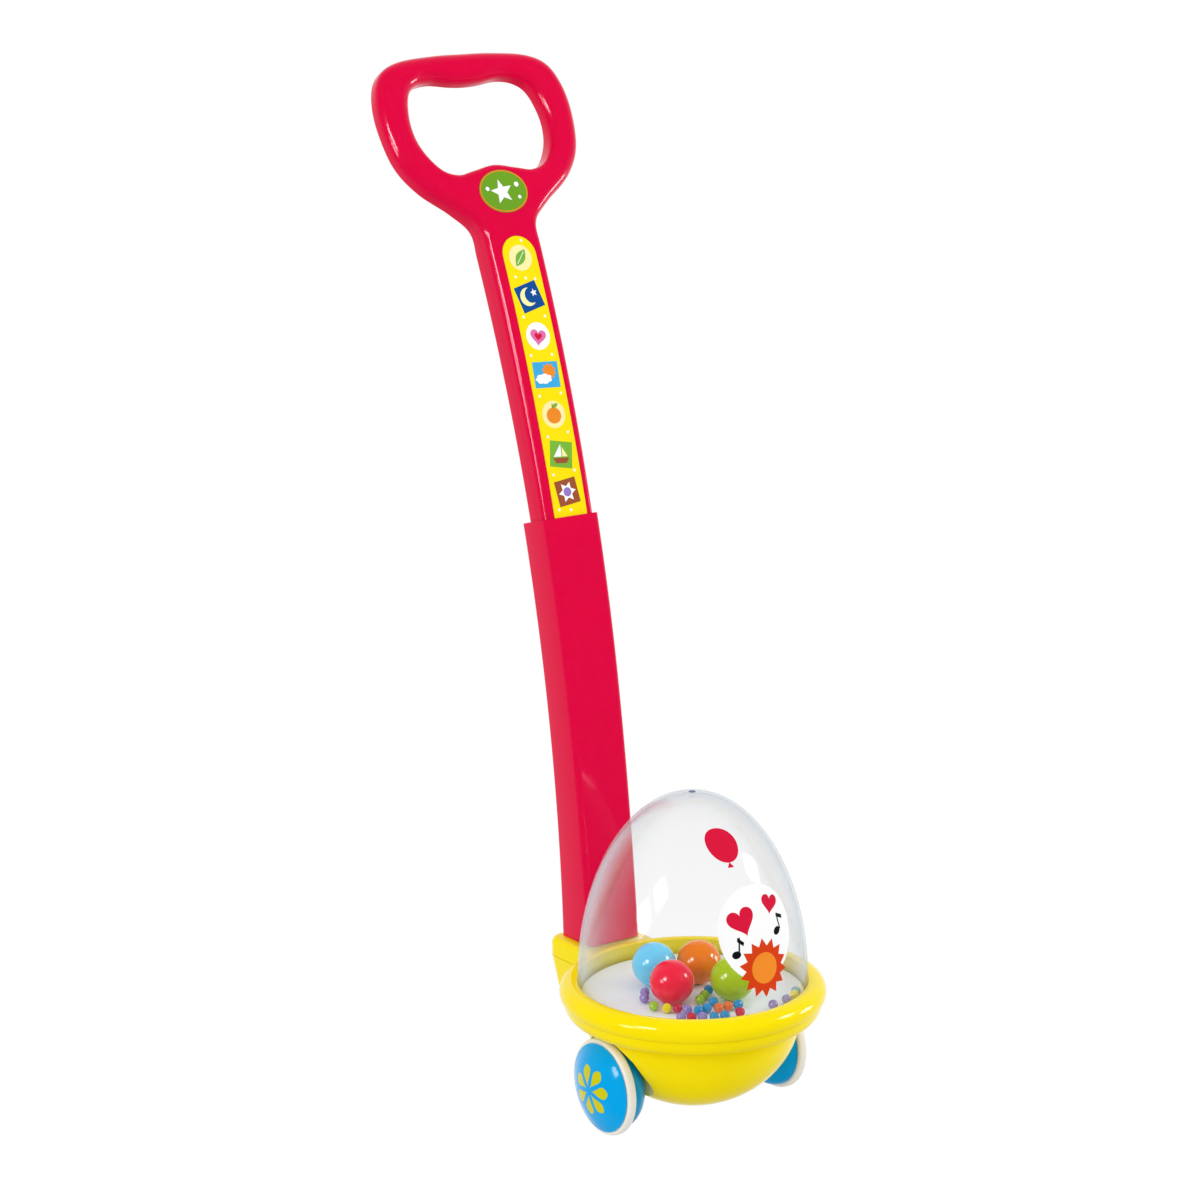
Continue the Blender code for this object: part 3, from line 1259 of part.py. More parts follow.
def build_base_screws(shop):
    for i, (x, y) in enumerate(base_screw_spots()):
        head = (x, y, BASE_SCREW_HEAD_HEIGHT - SCREW_HEAD_THICKNESS)
        tip = (x, y, BASE_SCREW_TOP_HEIGHT)
        mesh = screw_mesh("screw", head, tip, BASE_SCREW_RADIUS, BASE_SCREW_HEAD_RADIUS, SCREW_HEAD_THICKNESS)
        shop.piece(f"base_screw_{i + 1}", mesh, "steel")
    for side, word in ((-1, "front"), (1, "rear")):
        top = BRIDGE_HEIGHT + BRIDGE_THICKNESS + SEAT_GAP + SCREW_HEAD_THICKNESS
        tip = Vector(bridge_screw_tip(side)) + Vector((0.0, 0.0, SEAT_GAP))
        head = (0.0, side * BRIDGE_POST_REACH, top)
        mesh = screw_mesh("screw", head, tip, SCREW_RADIUS, SCREW_HEAD_RADIUS, SCREW_HEAD_THICKNESS)
        shop.piece(f"bridge_screw_{word}", mesh, "steel")
    for (across, height), word in zip(lug_screw_spots(), ("right", "left")):
        rear = lug_rear_at(height) - SCREW_HEAD_SINK
        head = (across, rear, height)
        tip = (across, rear - SCREW_LENGTH, height)
        mesh = screw_mesh("screw", head, tip, SCREW_RADIUS, SCREW_HEAD_RADIUS, SCREW_HEAD_THICKNESS)
        shop.piece(f"sleeve_screw_{word}", mesh, "steel")


def cam_mesh(name):
    """The cam that kicks the striker: smooth lobes round a hub, with the axle along X."""
    bm = bmesh.new()
    corners = []
    for i in range(CAM_STEPS):
        angle = math.tau * i / CAM_STEPS
        lift = (0.5 - 0.5 * math.cos(CAM_LOBES * angle)) ** 2
        radius = CAM_HUB_RADIUS + (CAM_REACH - CAM_HUB_RADIUS) * lift
        corners.append(bm.verts.new((-CAM_WIDTH / 2, radius * math.cos(angle), radius * math.sin(angle))))
    face = bm.faces.new(corners)
    grown = bmesh.ops.extrude_face_region(bm, geom=[face])
    moved = [item for item in grown["geom"] if isinstance(item, bmesh.types.BMVert)]
    bmesh.ops.translate(bm, verts=moved, vec=(CAM_WIDTH, 0.0, 0.0))
    bmesh.ops.recalc_face_normals(bm, faces=bm.faces[:])
    return mesh_from(bm, name)


def build_axle(shop, parent):
    reach = Vector((AXLE_HALF_LENGTH, 0.0, 0.0))
    shop.piece("axle", rod_mesh("axle", AXLE_RADIUS, -reach, reach), "steel", parent)
    cam = shop.piece("striker_cam", cam_mesh("striker_cam"), "black_nylon", parent)
    half = Vector((CAM_WIDTH, 0.0, 0.0))
    bore = shop.cutter("cam_bore", rod_mesh("cam_bore", AXLE_RADIUS + SEAT_GAP, -half, half))
    bore.parent = parent
    cut(cam, bore)


def cap_profile():
    """The bulged outer cap: shell, spigot into the tyre and the boss over the axle's end."""
    face = TYRE_INNER_FACE + TYRE_WIDTH + SEAT_GAP
    sphere = (WHEEL_FACE_RADIUS**2 + CAP_BULGE**2) / (2.0 * CAP_BULGE)
    inner_sphere = sphere - WHEEL_WALL
    centre = face + CAP_BULGE - sphere

    def on_sphere(radius, ball_radius):
        return (radius, centre + math.sqrt(ball_radius**2 - radius**2))

    steps = 5
    spigot = TYRE_BORE_RADIUS - SEAT_GAP
    outside = [on_sphere(WHEEL_FACE_RADIUS * i / steps, sphere) for i in range(steps + 1)]
    outside += [(spigot, face), (spigot, face - SPIGOT_REACH), (spigot - SPIGOT_WALL, face - SPIGOT_REACH)]
    inside = []
    for i in range(3):
        radius = spigot - SPIGOT_WALL - (spigot - SPIGOT_WALL - WHEEL_BOSS_RADIUS) * i / 2
        inside.append(on_sphere(radius, inner_sphere))
    bore = AXLE_RADIUS + SEAT_GAP
    bore_end = AXLE_HALF_LENGTH + SEAT_GAP
    inside += [(WHEEL_BOSS_RADIUS, face - SPIGOT_REACH), (bore, face - SPIGOT_REACH), (bore, bore_end), (0.0, bore_end)]
    return outside + inside


def hub_profile():
    """The domed inner half of the wheel, with the boss that grips the axle."""
    face = TYRE_INNER_FACE - SEAT_GAP
    steps = 5
    spigot = TYRE_BORE_RADIUS - SEAT_GAP
    bore = AXLE_RADIUS + SEAT_GAP
    boss_end = TYRE_INNER_FACE + TYRE_WIDTH - SPIGOT_REACH
    inner_radius, inner_depth = WHEEL_FACE_RADIUS - WHEEL_WALL * 1.6, HUB_DEPTH - WHEEL_WALL
    boss_turn = math.asin(WHEEL_BOSS_RADIUS / inner_radius)
    bore_turn = math.asin(bore / WHEEL_FACE_RADIUS)
    profile = [(spigot, face + SPIGOT_REACH), (spigot, face)]
    for i in range(steps + 1):
        turn = math.radians(90.0) + (bore_turn - math.radians(90.0)) * i / steps
        profile.append((WHEEL_FACE_RADIUS * math.sin(turn), face - HUB_DEPTH * math.cos(turn)))
    profile += [(bore, boss_end), (WHEEL_BOSS_RADIUS, boss_end)]
    for i in range(steps + 1):
        turn = boss_turn + (math.radians(80.0) - boss_turn) * i / steps
        profile.append((inner_radius * math.sin(turn), face - inner_depth * math.cos(turn)))
    profile += [(spigot - SPIGOT_WALL, face), (spigot - SPIGOT_WALL, face + SPIGOT_REACH)]
    return profile


def tyre_profile():
    inner, outer = TYRE_INNER_FACE, TYRE_INNER_FACE + TYRE_WIDTH
    middle = (inner + outer) / 2
    shoulder = WHEEL_RADIUS - TYRE_CROWN
    quarter = TYRE_WIDTH / 4
    crown = TYRE_CROWN / 4
    return [
        (TYRE_BORE_RADIUS, outer),
        (shoulder - crown, outer),
        (WHEEL_RADIUS - crown, middle + quarter),
        (WHEEL_RADIUS, middle),
        (WHEEL_RADIUS - crown, middle - quarter),
        (shoulder, inner),
        (TYRE_BORE_RADIUS, inner),
    ]


def build_wheel(shop, side, parent):
    word = "left" if side > 0 else "right"
    for name, profile, material, closed in (
        (f"wheel_cap_{word}", cap_profile(), "wheel_blue", False),
        (f"wheel_tyre_{word}", tyre_profile(), "cream_tyre", True),
        (f"wheel_hub_{word}", hub_profile(), "wheel_blue", True),
    ):
        piece = turned_piece(shop, name, profile, material, ROUND_STEPS, closed, parent)
        piece.rotation_euler = (0.0, side * math.radians(90.0), 0.0)


def bead_places():
    """Bead places, eased apart until no bead touches a neighbour, a big ball or the dome."""
    colours, spots = [], []
    for colour, shares in BEAD_PLACE_SHARES.items():
        for across, back in shares:
            colours.append(colour)
            spots.append(Vector((across * FLOOR_RADIUS, back * FLOOR_RADIUS)))
    balls = [Vector((x * FLOOR_RADIUS, y * FLOOR_RADIUS)) for x, y in BALL_PLACE_SHARES.values()]
    ball_gap = BALL_RADIUS + BEAD_RADIUS + SEAT_GAP
    bead_gap = 2.0 * BEAD_RADIUS + SEAT_GAP
    top = floor_top() + 2.0 * BEAD_RADIUS + BEAD_HOP + FLOOR_TRAVEL
    share = max(top - DOME_BASE_HEIGHT, 0.0) / (DOME_RISE - DOME_WALL)
    edge = (DOME_RADIUS - DOME_WALL) * math.sqrt(1.0 - share**2) - BEAD_RADIUS - SEAT_GAP
    for _ in range(BEAD_SETTLE_ROUNDS):
        for i, spot in enumerate(spots):
            for ball in balls:
                away = spot - ball
                if away.length < ball_gap:
                    spot += away.normalized() * (ball_gap - away.length)
            for other in spots[:i]:
                away = spot - other
                if away.length < bead_gap:
                    push = away.normalized() * (bead_gap - away.length) / 2
                    spot += push
                    other -= push
            if spot.length > edge:
                spot *= edge / spot.length
    return list(zip(colours, spots))


def build_balls(shop, floor_frame):
    mesh = ball_mesh("ball", BALL_RADIUS, 16, 10)
    for name, (across, back) in BALL_PLACE_SHARES.items():
        ball = shop.piece(name, mesh.copy(), name, floor_frame)
        ball.location = (across * FLOOR_RADIUS, back * FLOOR_RADIUS, floor_top() + BALL_RADIUS + SEAT_GAP)
        shade(ball)


def build_beads(shop, floor_frame):
    mesh = ball_mesh("bead", BEAD_RADIUS, 8, 4)
    counts = dict.fromkeys(BEAD_PLACE_SHARES, 0)
    for colour, spot in bead_places():
        counts[colour] += 1
        bead = shop.piece(f"bead_{colour}_{counts[colour]}", mesh.copy(), f"bead_{colour}", floor_frame)
        bead.location = (*spot, floor_top() + BEAD_RADIUS + SEAT_GAP)
        shade(bead)


def stand_over_origin(shop):
    """Moves the whole toy so that its box's foot is centred on the origin."""
    bpy.context.view_layer.update()
    graph = bpy.context.evaluated_depsgraph_get()
    places = []
    for piece in shop.parts.objects:
        if piece.type == "MESH":
            shown = piece.evaluated_get(graph)
            places += [(shown.matrix_world @ Vector(corner)).y for corner in shown.bound_box]
    shop.root.location.y -= (min(places) + max(places)) / 2
    return shop.root.location.y


def build():
    clear_scene()
    shop = Workshop()
    build_rim(shop)
    build_bowl(shop)
    build_dome(shop)
    build_bridge(shop)
    build_base_screws(shop)
    build_sleeve(shop)
    build_handle_shell(shop, "handle_front_shell", 1)
    build_handle_shell(shop, "handle_rear_shell", -1)
    build_handle_labels(shop)
    build_handle_screws(shop)
    build_spring(shop)
    axle_frame = shop.empty("axle_frame", axle_centre())
    build_axle(shop, axle_frame)
    for side in (-1, 1):
        build_wheel(shop, side, axle_frame)
    floor_frame = shop.empty("floor_frame", (0.0, 0.0, 0.0))
    build_floor(shop, floor_frame)
    build_striker(shop, floor_frame)
    build_balls(shop, floor_frame)
    build_beads(shop, floor_frame)
    shift = stand_over_origin(shop)
    print(f"dome axis at y = {shift:.6f} m, floor top at z = {floor_top():.6f} m")
    print(f"bowl foot at z = {bowl_flat_height():.6f} m")


build()
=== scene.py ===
"""Looks of the toddler's push toy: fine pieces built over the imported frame, in a white studio.

Lengths are in metres. X runs across the toy, -Y is the way it rolls and +Z is up.
"""

import math

import bmesh
import bpy
from mathutils import Matrix, Vector


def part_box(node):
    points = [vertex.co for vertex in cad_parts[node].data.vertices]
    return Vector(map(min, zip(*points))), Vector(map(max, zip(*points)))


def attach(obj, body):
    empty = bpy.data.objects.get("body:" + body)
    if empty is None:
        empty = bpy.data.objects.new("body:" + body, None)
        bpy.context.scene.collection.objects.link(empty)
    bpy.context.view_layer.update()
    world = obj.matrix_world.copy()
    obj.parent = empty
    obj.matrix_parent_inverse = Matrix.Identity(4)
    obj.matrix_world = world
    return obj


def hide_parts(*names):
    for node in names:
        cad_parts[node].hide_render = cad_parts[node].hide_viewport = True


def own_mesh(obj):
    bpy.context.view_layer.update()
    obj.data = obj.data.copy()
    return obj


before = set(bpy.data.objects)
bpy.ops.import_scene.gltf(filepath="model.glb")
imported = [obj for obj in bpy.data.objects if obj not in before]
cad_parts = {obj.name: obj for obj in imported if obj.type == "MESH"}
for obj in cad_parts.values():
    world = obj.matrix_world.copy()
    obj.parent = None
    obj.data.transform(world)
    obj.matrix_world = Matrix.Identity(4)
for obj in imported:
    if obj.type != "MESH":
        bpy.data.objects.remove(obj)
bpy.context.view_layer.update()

# Corners round a turned shape, the gap between pieces, and how far a cutting shape reaches past its cut
AROUND = 144
GAP = 0.0003
OVERCUT = 0.0040

# Sizes shared with the frame
AXIS_Y = -0.078128
RIM_RADIUS = 0.0750
ROLL_RADIUS = 0.0071
ROLL_HEIGHT = 0.0722
RIM_WALL = 0.0019
PARTING = 0.0675
RIM_SKIRT_FOOT = 0.0630
BOWL_RADIUS = 0.0600
BOWL_MOUTH = 0.0560
BOWL_FOOT = 0.0071
BOWL_FLAT = 0.0120
BOWL_POWER = 1.9
BOWL_WALL = 0.0018
BAND_RADIUS = 0.0728
BAND_FOOT = 0.0590
SHOULDER = 0.0609
FLOOR_STOP = 0.0692
DOME_RADIUS = 0.0648
DOME_RISE = 0.1090
DOME_BASE = 0.0786
DOME_WALL = 0.0014
FLANGE_TOP = 0.0626
FLANGE_FOOT = 0.0612
AXLE = Vector((0.0, 0.0018, 0.0274))
TYRE_RADIUS = 0.0274
TYRE_INNER = 0.0571
TYRE_OUTER = 0.0624
TYRE_BORE = 0.0232
FACE_RADIUS = 0.0252
BULGE = 0.0080
HUB_DEPTH = 0.0165
HUB_BORE = 0.0230
CAP_WALL = 0.0014
SPIGOT = 0.0022
BOSS_RADIUS = 0.0048
AXLE_RADIUS = 0.0023
AXLE_END = 0.0658
WELL_FLOOR = 0.0362
WELL_RADIUS = 0.0262
WELL_MOUTH = 0.0287
BALL_RADIUS = 0.0125
BEAD_RADIUS = 0.00275

BEND_RADIUS = 1.0759
BEND_CENTRE = 0.0912 + BEND_RADIUS
BEND_HEIGHT = 0.0506
STEM_DEPTH = 0.0095
STEM_OFFSET = 0.0020
STEM_FOOT = 0.1500
STEM_HALF = 0.0162
STEM_TAPER = 0.0020
NECK = 0.4300
GRIP_TOP = 0.5508
GRIP_WIDTH = 0.0651
GRIP_DEPTH = 0.0150
OPENING_WIDTH = 0.0467
OPENING_FOOT = 0.4768
OPENING_TOP = 0.5349
SLEEVE_FOOT = 0.0287
SLEEVE_TOP = 0.2742
SLEEVE_DEPTH = 0.0131
SLEEVE_HALF = 0.0177
SLEEVE_TAPER = 0.0010
FLARE_TOP = 0.1750
LABEL_HALF = 0.0113
LABEL_TOP = 0.4370
LABEL_FOOT = 0.2682
LABEL_GAP = 0.0002
BADGE_PLACE = 0.4639
BADGE_WIDTH = 0.0163
BADGE_HEIGHT = 0.0128
LUG_HALF = 0.0240
LUG_FOOT_HALF = 0.0215
LUG_CORNER = 0.0075
LUG_EDGE = 0.0040
LUG_FRONT = 0.0500
LUG_REAR = 0.1100
LUG_TOP = 0.0788
LUG_FOOT = 0.0455
LUG_WALL = 0.0022


# Colours and materials


def linear(colour):
    """A colour given in 0 to 255 as the linear values that a shader takes."""
    made = []
    for value in colour:
        share = value / 255.0
        made.append(share / 12.92 if share <= 0.04045 else ((share + 0.055) / 1.055) ** 2.4)
    return (*made, 1.0)


def tinted(colour, factor):
    """A linear colour made lighter or darker, kept within the range of a real surface."""
    return tuple(min(max(value * factor, 0.0), 0.97) for value in colour[:3]) + (1.0,)


def feed(node, inputs):
    """Gives a node's inputs their values, or links them to the sockets given."""
    for key, value in inputs.items():
        if isinstance(value, bpy.types.NodeSocket):
            node.id_data.links.new(value, node.inputs[key])
        else:
            node.inputs[key].default_value = value


def add_node(tree, kind, inputs=None, **settings):
    node = tree.nodes.new(kind)
    for key, value in settings.items():
        setattr(node, key, value)
    feed(node, inputs or {})
    return node


def calc(tree, operation, *values):
    return add_node(tree, "ShaderNodeMath", dict(enumerate(values)), operation=operation).outputs["Value"]


def mixed(tree, share, first, second):
    return add_node(tree, "ShaderNodeMixShader", {"Fac": share, 1: first, 2: second}).outputs["Shader"]


def noise(tree, where, scale, detail=3.0):
    inputs = {"Vector": where, "Scale": scale, "Detail": detail}
    return add_node(tree, "ShaderNodeTexNoise", inputs).outputs["Fac"]


def ramp(tree, source, low, high, start=0.3, end=0.7):
    node = add_node(tree, "ShaderNodeValToRGB", {"Fac": source})
    for element, position, colour in zip(node.color_ramp.elements, (start, end), (low, high)):
        element.position = position
        element.color = colour
    return node


def spread(tree, source, low, high):
    """Maps a noise to a range of values."""
    inputs = {"Value": source, "From Min": 0.3, "From Max": 0.7, "To Min": low, "To Max": high}
    return add_node(tree, "ShaderNodeMapRange", inputs).outputs["Result"]


def plastic(name, colour, roughness=0.2, specular=0.5, vary=0.04, grain=900.0, dent=0.00002, soft=0.0, metallic=0.0):
    """Moulded plastic, ink or metal: a slight drift of colour, uneven gloss and a fine skin."""
    material = bpy.data.materials.new(name)
    material.use_nodes = True
    tree = material.node_tree
    where = add_node(tree, "ShaderNodeTexCoord").outputs["Object"]
    tone = linear(colour)
    colours = ramp(tree, noise(tree, where, 35.0), tinted(tone, 1 - vary), tinted(tone, 1 + vary))
    skin = {"Strength": 0.35, "Distance": dent, "Height": noise(tree, where, grain, 2.0)}
    inputs = {
        "Base Color": colours.outputs["Color"],
        "Roughness": spread(tree, noise(tree, where, 160.0, 5.0), roughness * 0.85, roughness * 1.2),
        "Normal": add_node(tree, "ShaderNodeBump", skin).outputs["Normal"],
        "Specular IOR Level": specular,
        "Metallic": metallic,
        "Subsurface Weight": soft,
        "Subsurface Radius": (0.004, 0.004, 0.004),
        "Subsurface Scale": 1.0,
    }
    feed(tree.nodes["Principled BSDF"], inputs)
    return material


def clear_plastic(name):
    """Thin clear plastic: light goes straight through it, and where it slopes away it shows a painted pale sheen, a
    white diffuse standing in for the reflection of the room.
    """
    material = bpy.data.materials.new(name)
    material.use_nodes = True
    tree = material.node_tree
    tree.nodes.remove(tree.nodes["Principled BSDF"])
    where = add_node(tree, "ShaderNodeTexCoord").outputs["Object"]
    ripple = {"Strength": 0.25, "Distance": 0.0002, "Height": noise(tree, where, 45.0, 1.0)}
    facing = add_node(tree, "ShaderNodeLayerWeight", {"Blend": 0.5}).outputs["Facing"]
    share = calc(tree, "MULTIPLY_ADD", calc(tree, "POWER", facing, 2.5), 0.6, 0.016)
    path = add_node(tree, "ShaderNodeLightPath").outputs
    lighting = calc(tree, "MAXIMUM", path["Is Shadow Ray"], path["Is Diffuse Ray"])
    shown = calc(tree, "MULTIPLY", share, calc(tree, "SUBTRACT", 1.0, lighting))
    mirror = {
        "Roughness": spread(tree, noise(tree, where, 120.0, 4.0), 0.06, 0.10),
        "Normal": add_node(tree, "ShaderNodeBump", ripple).outputs["Normal"],
    }
    mirror = add_node(tree, "ShaderNodeBsdfGlossy", mirror).outputs["BSDF"]
    # Painted sheen: a pale white diffuse, mixed in most where the dome slopes from view, painted in for the
    # reflection of the white room
    painted_sheen = add_node(tree, "ShaderNodeBsdfDiffuse", {"Color": linear((228, 238, 250))}).outputs["BSDF"]
    edge = ramp(tree, facing, linear((254, 254, 254)), linear((244, 248, 250)), 0.6, 1.0).outputs["Color"]
    through = add_node(tree, "ShaderNodeBsdfTransparent", {"Color": edge}).outputs["BSDF"]
    surface = mixed(tree, shown, through, mixed(tree, 0.35, mirror, painted_sheen))
    feed(tree.nodes["Material Output"], {"Surface": surface})
    return material


RED = plastic("red_gloss", (223, 0, 63), 0.13, 0.3, vary=0.015, dent=0.000004)
YELLOW = plastic("yellow_gloss", (250, 226, 0), 0.11, 0.24, vary=0.015, dent=0.000006)
CLEAR = clear_plastic("clear_dome")
# Painted shade: the nub is the dome's clear plastic, painted dark blue-grey for how dark it looks seen edge-on
NUB_PAINTED_SHADE = plastic("nub_painted_shade", (58, 84, 122), 0.25, 0.3)
WHITE = plastic("white_floor", (240, 247, 254), 0.45, 0.3, vary=0.02, grain=1500.0)
BLUE = plastic("wheel_blue_gloss", (0, 164, 230), 0.10, 0.28, vary=0.02, dent=0.000006)
# Painted shade: the hub is the cap's own blue plastic, made darker here for the shade it sits in
HUB_BLUE_SHADED = plastic("hub_blue_painted_shade", (0, 150, 206), 0.12, 0.28, vary=0.02, dent=0.000006)
CREAM = plastic("cream_rubber", (238, 234, 222), 0.5, 0.35, vary=0.03, grain=2200.0, dent=0.00004)
PETAL = plastic("petal_ink", (206, 200, 0), 0.16, 0.28)
STEEL = plastic("steel_wire", (170, 172, 176), 0.28, 0.5, metallic=1.0, grain=2500.0)
NYLON = plastic("black_nylon_skin", (38, 38, 40), 0.45, 0.4, grain=1800.0)
LABEL = plastic("label_yellow_paper", (252, 226, 6), 0.22, 0.14, vary=0.02, dent=0.000008)
GREEN = plastic("badge_green_paper", (108, 162, 38), 0.22, 0.14, vary=0.03, dent=0.000008)

INK_TONES = {
    "white": (250, 250, 248),
    "black": (16, 18, 22),
    "red": (214, 18, 58),
    "scarlet": (215, 62, 14),
    "orange": (240, 140, 40),
    "cream": (252, 240, 170),
    "sky": (62, 172, 226),
    "navy": (18, 76, 150),
    "leaf": (120, 182, 60),
    "brown": (158, 84, 52),
    "pink": (222, 110, 172),
    "lilac": (150, 120, 200),
}
INKS = {name: plastic(f"ink_{name}", tone, 0.22, 0.14, dent=0.000008) for name, tone in INK_TONES.items()}

# Each ball's colour, and where the mark of its mould points
BALLS = {
    "ball_blue": ((116, 212, 254), (-0.45, -0.35, 0.82)),
    "ball_red": ((246, 24, 62), (0.5, 0.3, -0.8)),
    "ball_orange": ((242, 128, 6), (0.6, 0.2, 0.6)),
    "ball_green": ((174, 208, 16), (0.2, 0.9, -0.3)),
}
BEAD_TONES = {
    "lime": (160, 200, 50),
    "yellow": (235, 215, 30),
    "crimson": (205, 35, 70),
    "purple": (152, 134, 200),
    "blue": (40, 150, 210),
    "orange": (235, 120, 60),
    "teal": (90, 170, 180),
}


# Mesh helpers


def as_object(bm, name="tool"):
    mesh = bpy.data.meshes.new(name)
    bm.to_mesh(mesh)
    bm.free()
    made = bpy.data.objects.new(name, mesh)
    bpy.context.scene.collection.objects.link(made)
    return made


def piece(name, bm, materials, body, nodes, sharp=35.0):
    """Makes an object of a mesh, sets it on its body and lets it stand for its CAD nodes."""
    made = as_object(bm, name)
    for material in materials:
        made.data.materials.append(material)
    made.data.shade_smooth()
    made.data.set_sharp_from_angle(angle=math.radians(sharp))
    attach(made, body)
    if nodes:
        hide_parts(*nodes)
    return made


def arc(centre_x, centre_y, half_width, half_height, start, end, steps):
    """Points along a part of an ellipse, with its ends in degrees."""
    turns = [math.radians(start + (end - start) * i / steps) for i in range(steps + 1)]
    return [(centre_x + half_width * math.cos(turn), centre_y + half_height * math.sin(turn)) for turn in turns]


def ellipse(half_width, half_height, steps, height=0.0):
    return arc(0.0, height, half_width, half_height, 0.0, 360.0, steps)[:-1]


def placed(points, x, y, turn):
    cos, sin = math.cos(math.radians(turn)), math.sin(math.radians(turn))
    return [(x + a * cos - b * sin, y + a * sin + b * cos) for a, b in points]


def eased(value, low, high):
    """From 0 at low to 1 at high, with soft ends."""
    share = min(max((value - low) / (high - low), 0.0), 1.0)
    return share * share * (3.0 - 2.0 * share)


def add_face(bm, corners):
    """A face through these corners, but for any that repeat."""
    corners = list(dict.fromkeys(corners))
    if len(corners) > 2:
        bm.faces.new(corners)


def turned(profile, place, around=AROUND, closed=False):
    """Turns a profile of (radius, height) about Z, then places it."""
    bm = bmesh.new()
    rings = []
    for radius, height in profile:
        ring = []
        for i in range(around if radius > 1e-7 else 1):
            turn = math.tau * i / around
            ring.append(bm.verts.new(place @ Vector((radius * math.cos(turn), radius * math.sin(turn), height))))
        rings.append(ring)
    for first, second in zip(rings, rings[1:] + (rings[:1] if closed else [])):
        for i in range(around):
            j = i + 1
            corners = [first[i % len(first)], first[j % len(first)], second[j % len(second)], second[i % len(second)]]
            add_face(bm, corners)
    bmesh.ops.recalc_face_normals(bm, faces=bm.faces[:])
    return bm


def rounded(profile, places, radius, steps=5):
    """A profile with some of its corners rounded, given by their places in it."""
    made = []
    for i, point in enumerate(profile):
        if i not in places:
            made.append(point)
            continue
        corner = Vector(point)
        start, end = [corner + (Vector(profile[j]) - corner).normalized() * radius for j in (i - 1, i + 1)]
        for t in [step / steps for step in range(steps + 1)]:
            made.append(tuple((1 - t) ** 2 * start + 2 * t * (1 - t) * corner + t * t * end))
    return made


def combine(target, *steps):
    """Runs Boolean steps of (operation, mesh) on a mesh and gives the mesh that is left."""
    made = as_object(target)
    for operation, other in steps:
        tool = as_object(other)
        modifier = made.modifiers.new(operation, "BOOLEAN")
        modifier.operation = operation
        modifier.solver = "EXACT"
        modifier.object = tool
        graph = bpy.context.evaluated_depsgraph_get()
        mesh = bpy.data.meshes.new_from_object(made.evaluated_get(graph))
        made.modifiers.clear()
        made.data = mesh
        bpy.data.objects.remove(tool)
    bm = bmesh.new()
    bm.from_mesh(made.data)
    bmesh.ops.remove_doubles(bm, verts=bm.verts[:], dist=0.000002)
    bmesh.ops.dissolve_degenerate(bm, edges=bm.edges[:], dist=0.000002)
    bpy.data.objects.remove(made)
    return bm


ON_AXIS = Matrix.Translation((0.0, AXIS_Y, 0.0))


def side_place(side):
    """Places a shape turned about Z so that it points out along X at the axle."""
    return ON_AXIS @ Matrix.Translation(AXLE) @ Matrix.Rotation(side * math.radians(90.0), 4, "Y")


def bend_point(across, depth, along):
    """From the flat handle to the bent one: depth is towards the front, along is up it."""
    angle = along / BEND_RADIUS
    radius = BEND_RADIUS + depth
    y = AXIS_Y + BEND_CENTRE - radius * math.cos(angle)
    return Vector((across, y, BEND_HEIGHT + radius * math.sin(angle)))


def thinned(depth, along):
    """Thins the handle from the rear between neck and grip, and sets it to the bend's front."""
    thin = 1.0 - eased(along, NECK, OPENING_FOOT) * (1.0 - GRIP_DEPTH / (2.0 * STEM_DEPTH))
    return STEM_OFFSET + STEM_DEPTH - (STEM_DEPTH - depth) * thin


def slice_mesh(bm, axis, step):
    """Cuts a mesh with evenly spaced planes, so that it can be bent or wrapped."""
    values = [v.co[axis] for v in bm.verts]
    normal = Vector(Matrix.Identity(3)[axis])
    level = step * (math.floor(min(values) / step) + 1)
    while level < max(values):
        geometry = bm.verts[:] + bm.edges[:] + bm.faces[:]
        bmesh.ops.bisect_plane(bm, geom=geometry, dist=1e-7, plane_co=normal * level, plane_no=normal)
        level += step


def bend_mesh(bm):
    slice_mesh(bm, 2, 0.006)
    for vert in bm.verts:
        across, depth, along = vert.co
        vert.co = bend_point(across, thinned(depth, along), along)
    bmesh.ops.recalc_face_normals(bm, faces=bm.faces[:])
    return bm


def smooth_run(points, steps):
    """Points along a smooth curve through the given ones, but for the first and last."""
    run = []
    for before, start, end, after in zip(points, points[1:], points[2:], points[3:]):
        for i in range(steps):
            t = i / steps
            run.append(
                tuple(
                    0.5 * (2 * b + (c - a) * t + (2 * a - 5 * b + 4 * c - d) * t * t + (3 * b - a - 3 * c + d) * t**3)
                    for a, b, c, d in zip(before, start, end, after)
                )
            )
    run.append(points[-2])
    return run


def mirrored(half):
    """A closed outline from its right half, which starts and ends on the middle line."""
    return half + [(-x, y) for x, y in reversed(half) if x > GAP]


def inset_points(points, insets):
    """A closed outline moved in, each point by its own distance. Below zero moves it out."""
    made = []
    count = len(points)
    for i, point in enumerate(points):
        here = Vector(point)
        before = (here - Vector(points[i - 1])).normalized()
        after = (Vector(points[(i + 1) % count]) - here).normalized()
        normal = Vector((-before.y, before.x)) + Vector((-after.y, after.x))
        normal.normalize()
        lean = max(normal.dot(Vector((-before.y, before.x))), 0.5)
        made.append(tuple(here + normal * insets[i] / lean))
    return made


def fill(bm, loops, index=0):
    """Fills flat loops of vertices, the inner ones as holes."""
    edges = []
    for loop in loops:
        for first, second in zip(loop, loop[1:] + loop[:1]):
            edges.append(bm.edges.get((first, second)) or bm.edges.new((first, second)))
    made = bmesh.ops.triangle_fill(bm, use_beauty=True, use_dissolve=False, edges=edges)
    for item in made["geom"]:
        if isinstance(item, bmesh.types.BMFace):
            item.material_index = index


def add_loop(bm, points, depth):
    depths = depth if isinstance(depth, list) else [depth] * len(points)
    return [bm.verts.new((x, d, y)) for (x, y), d in zip(points, depths)]


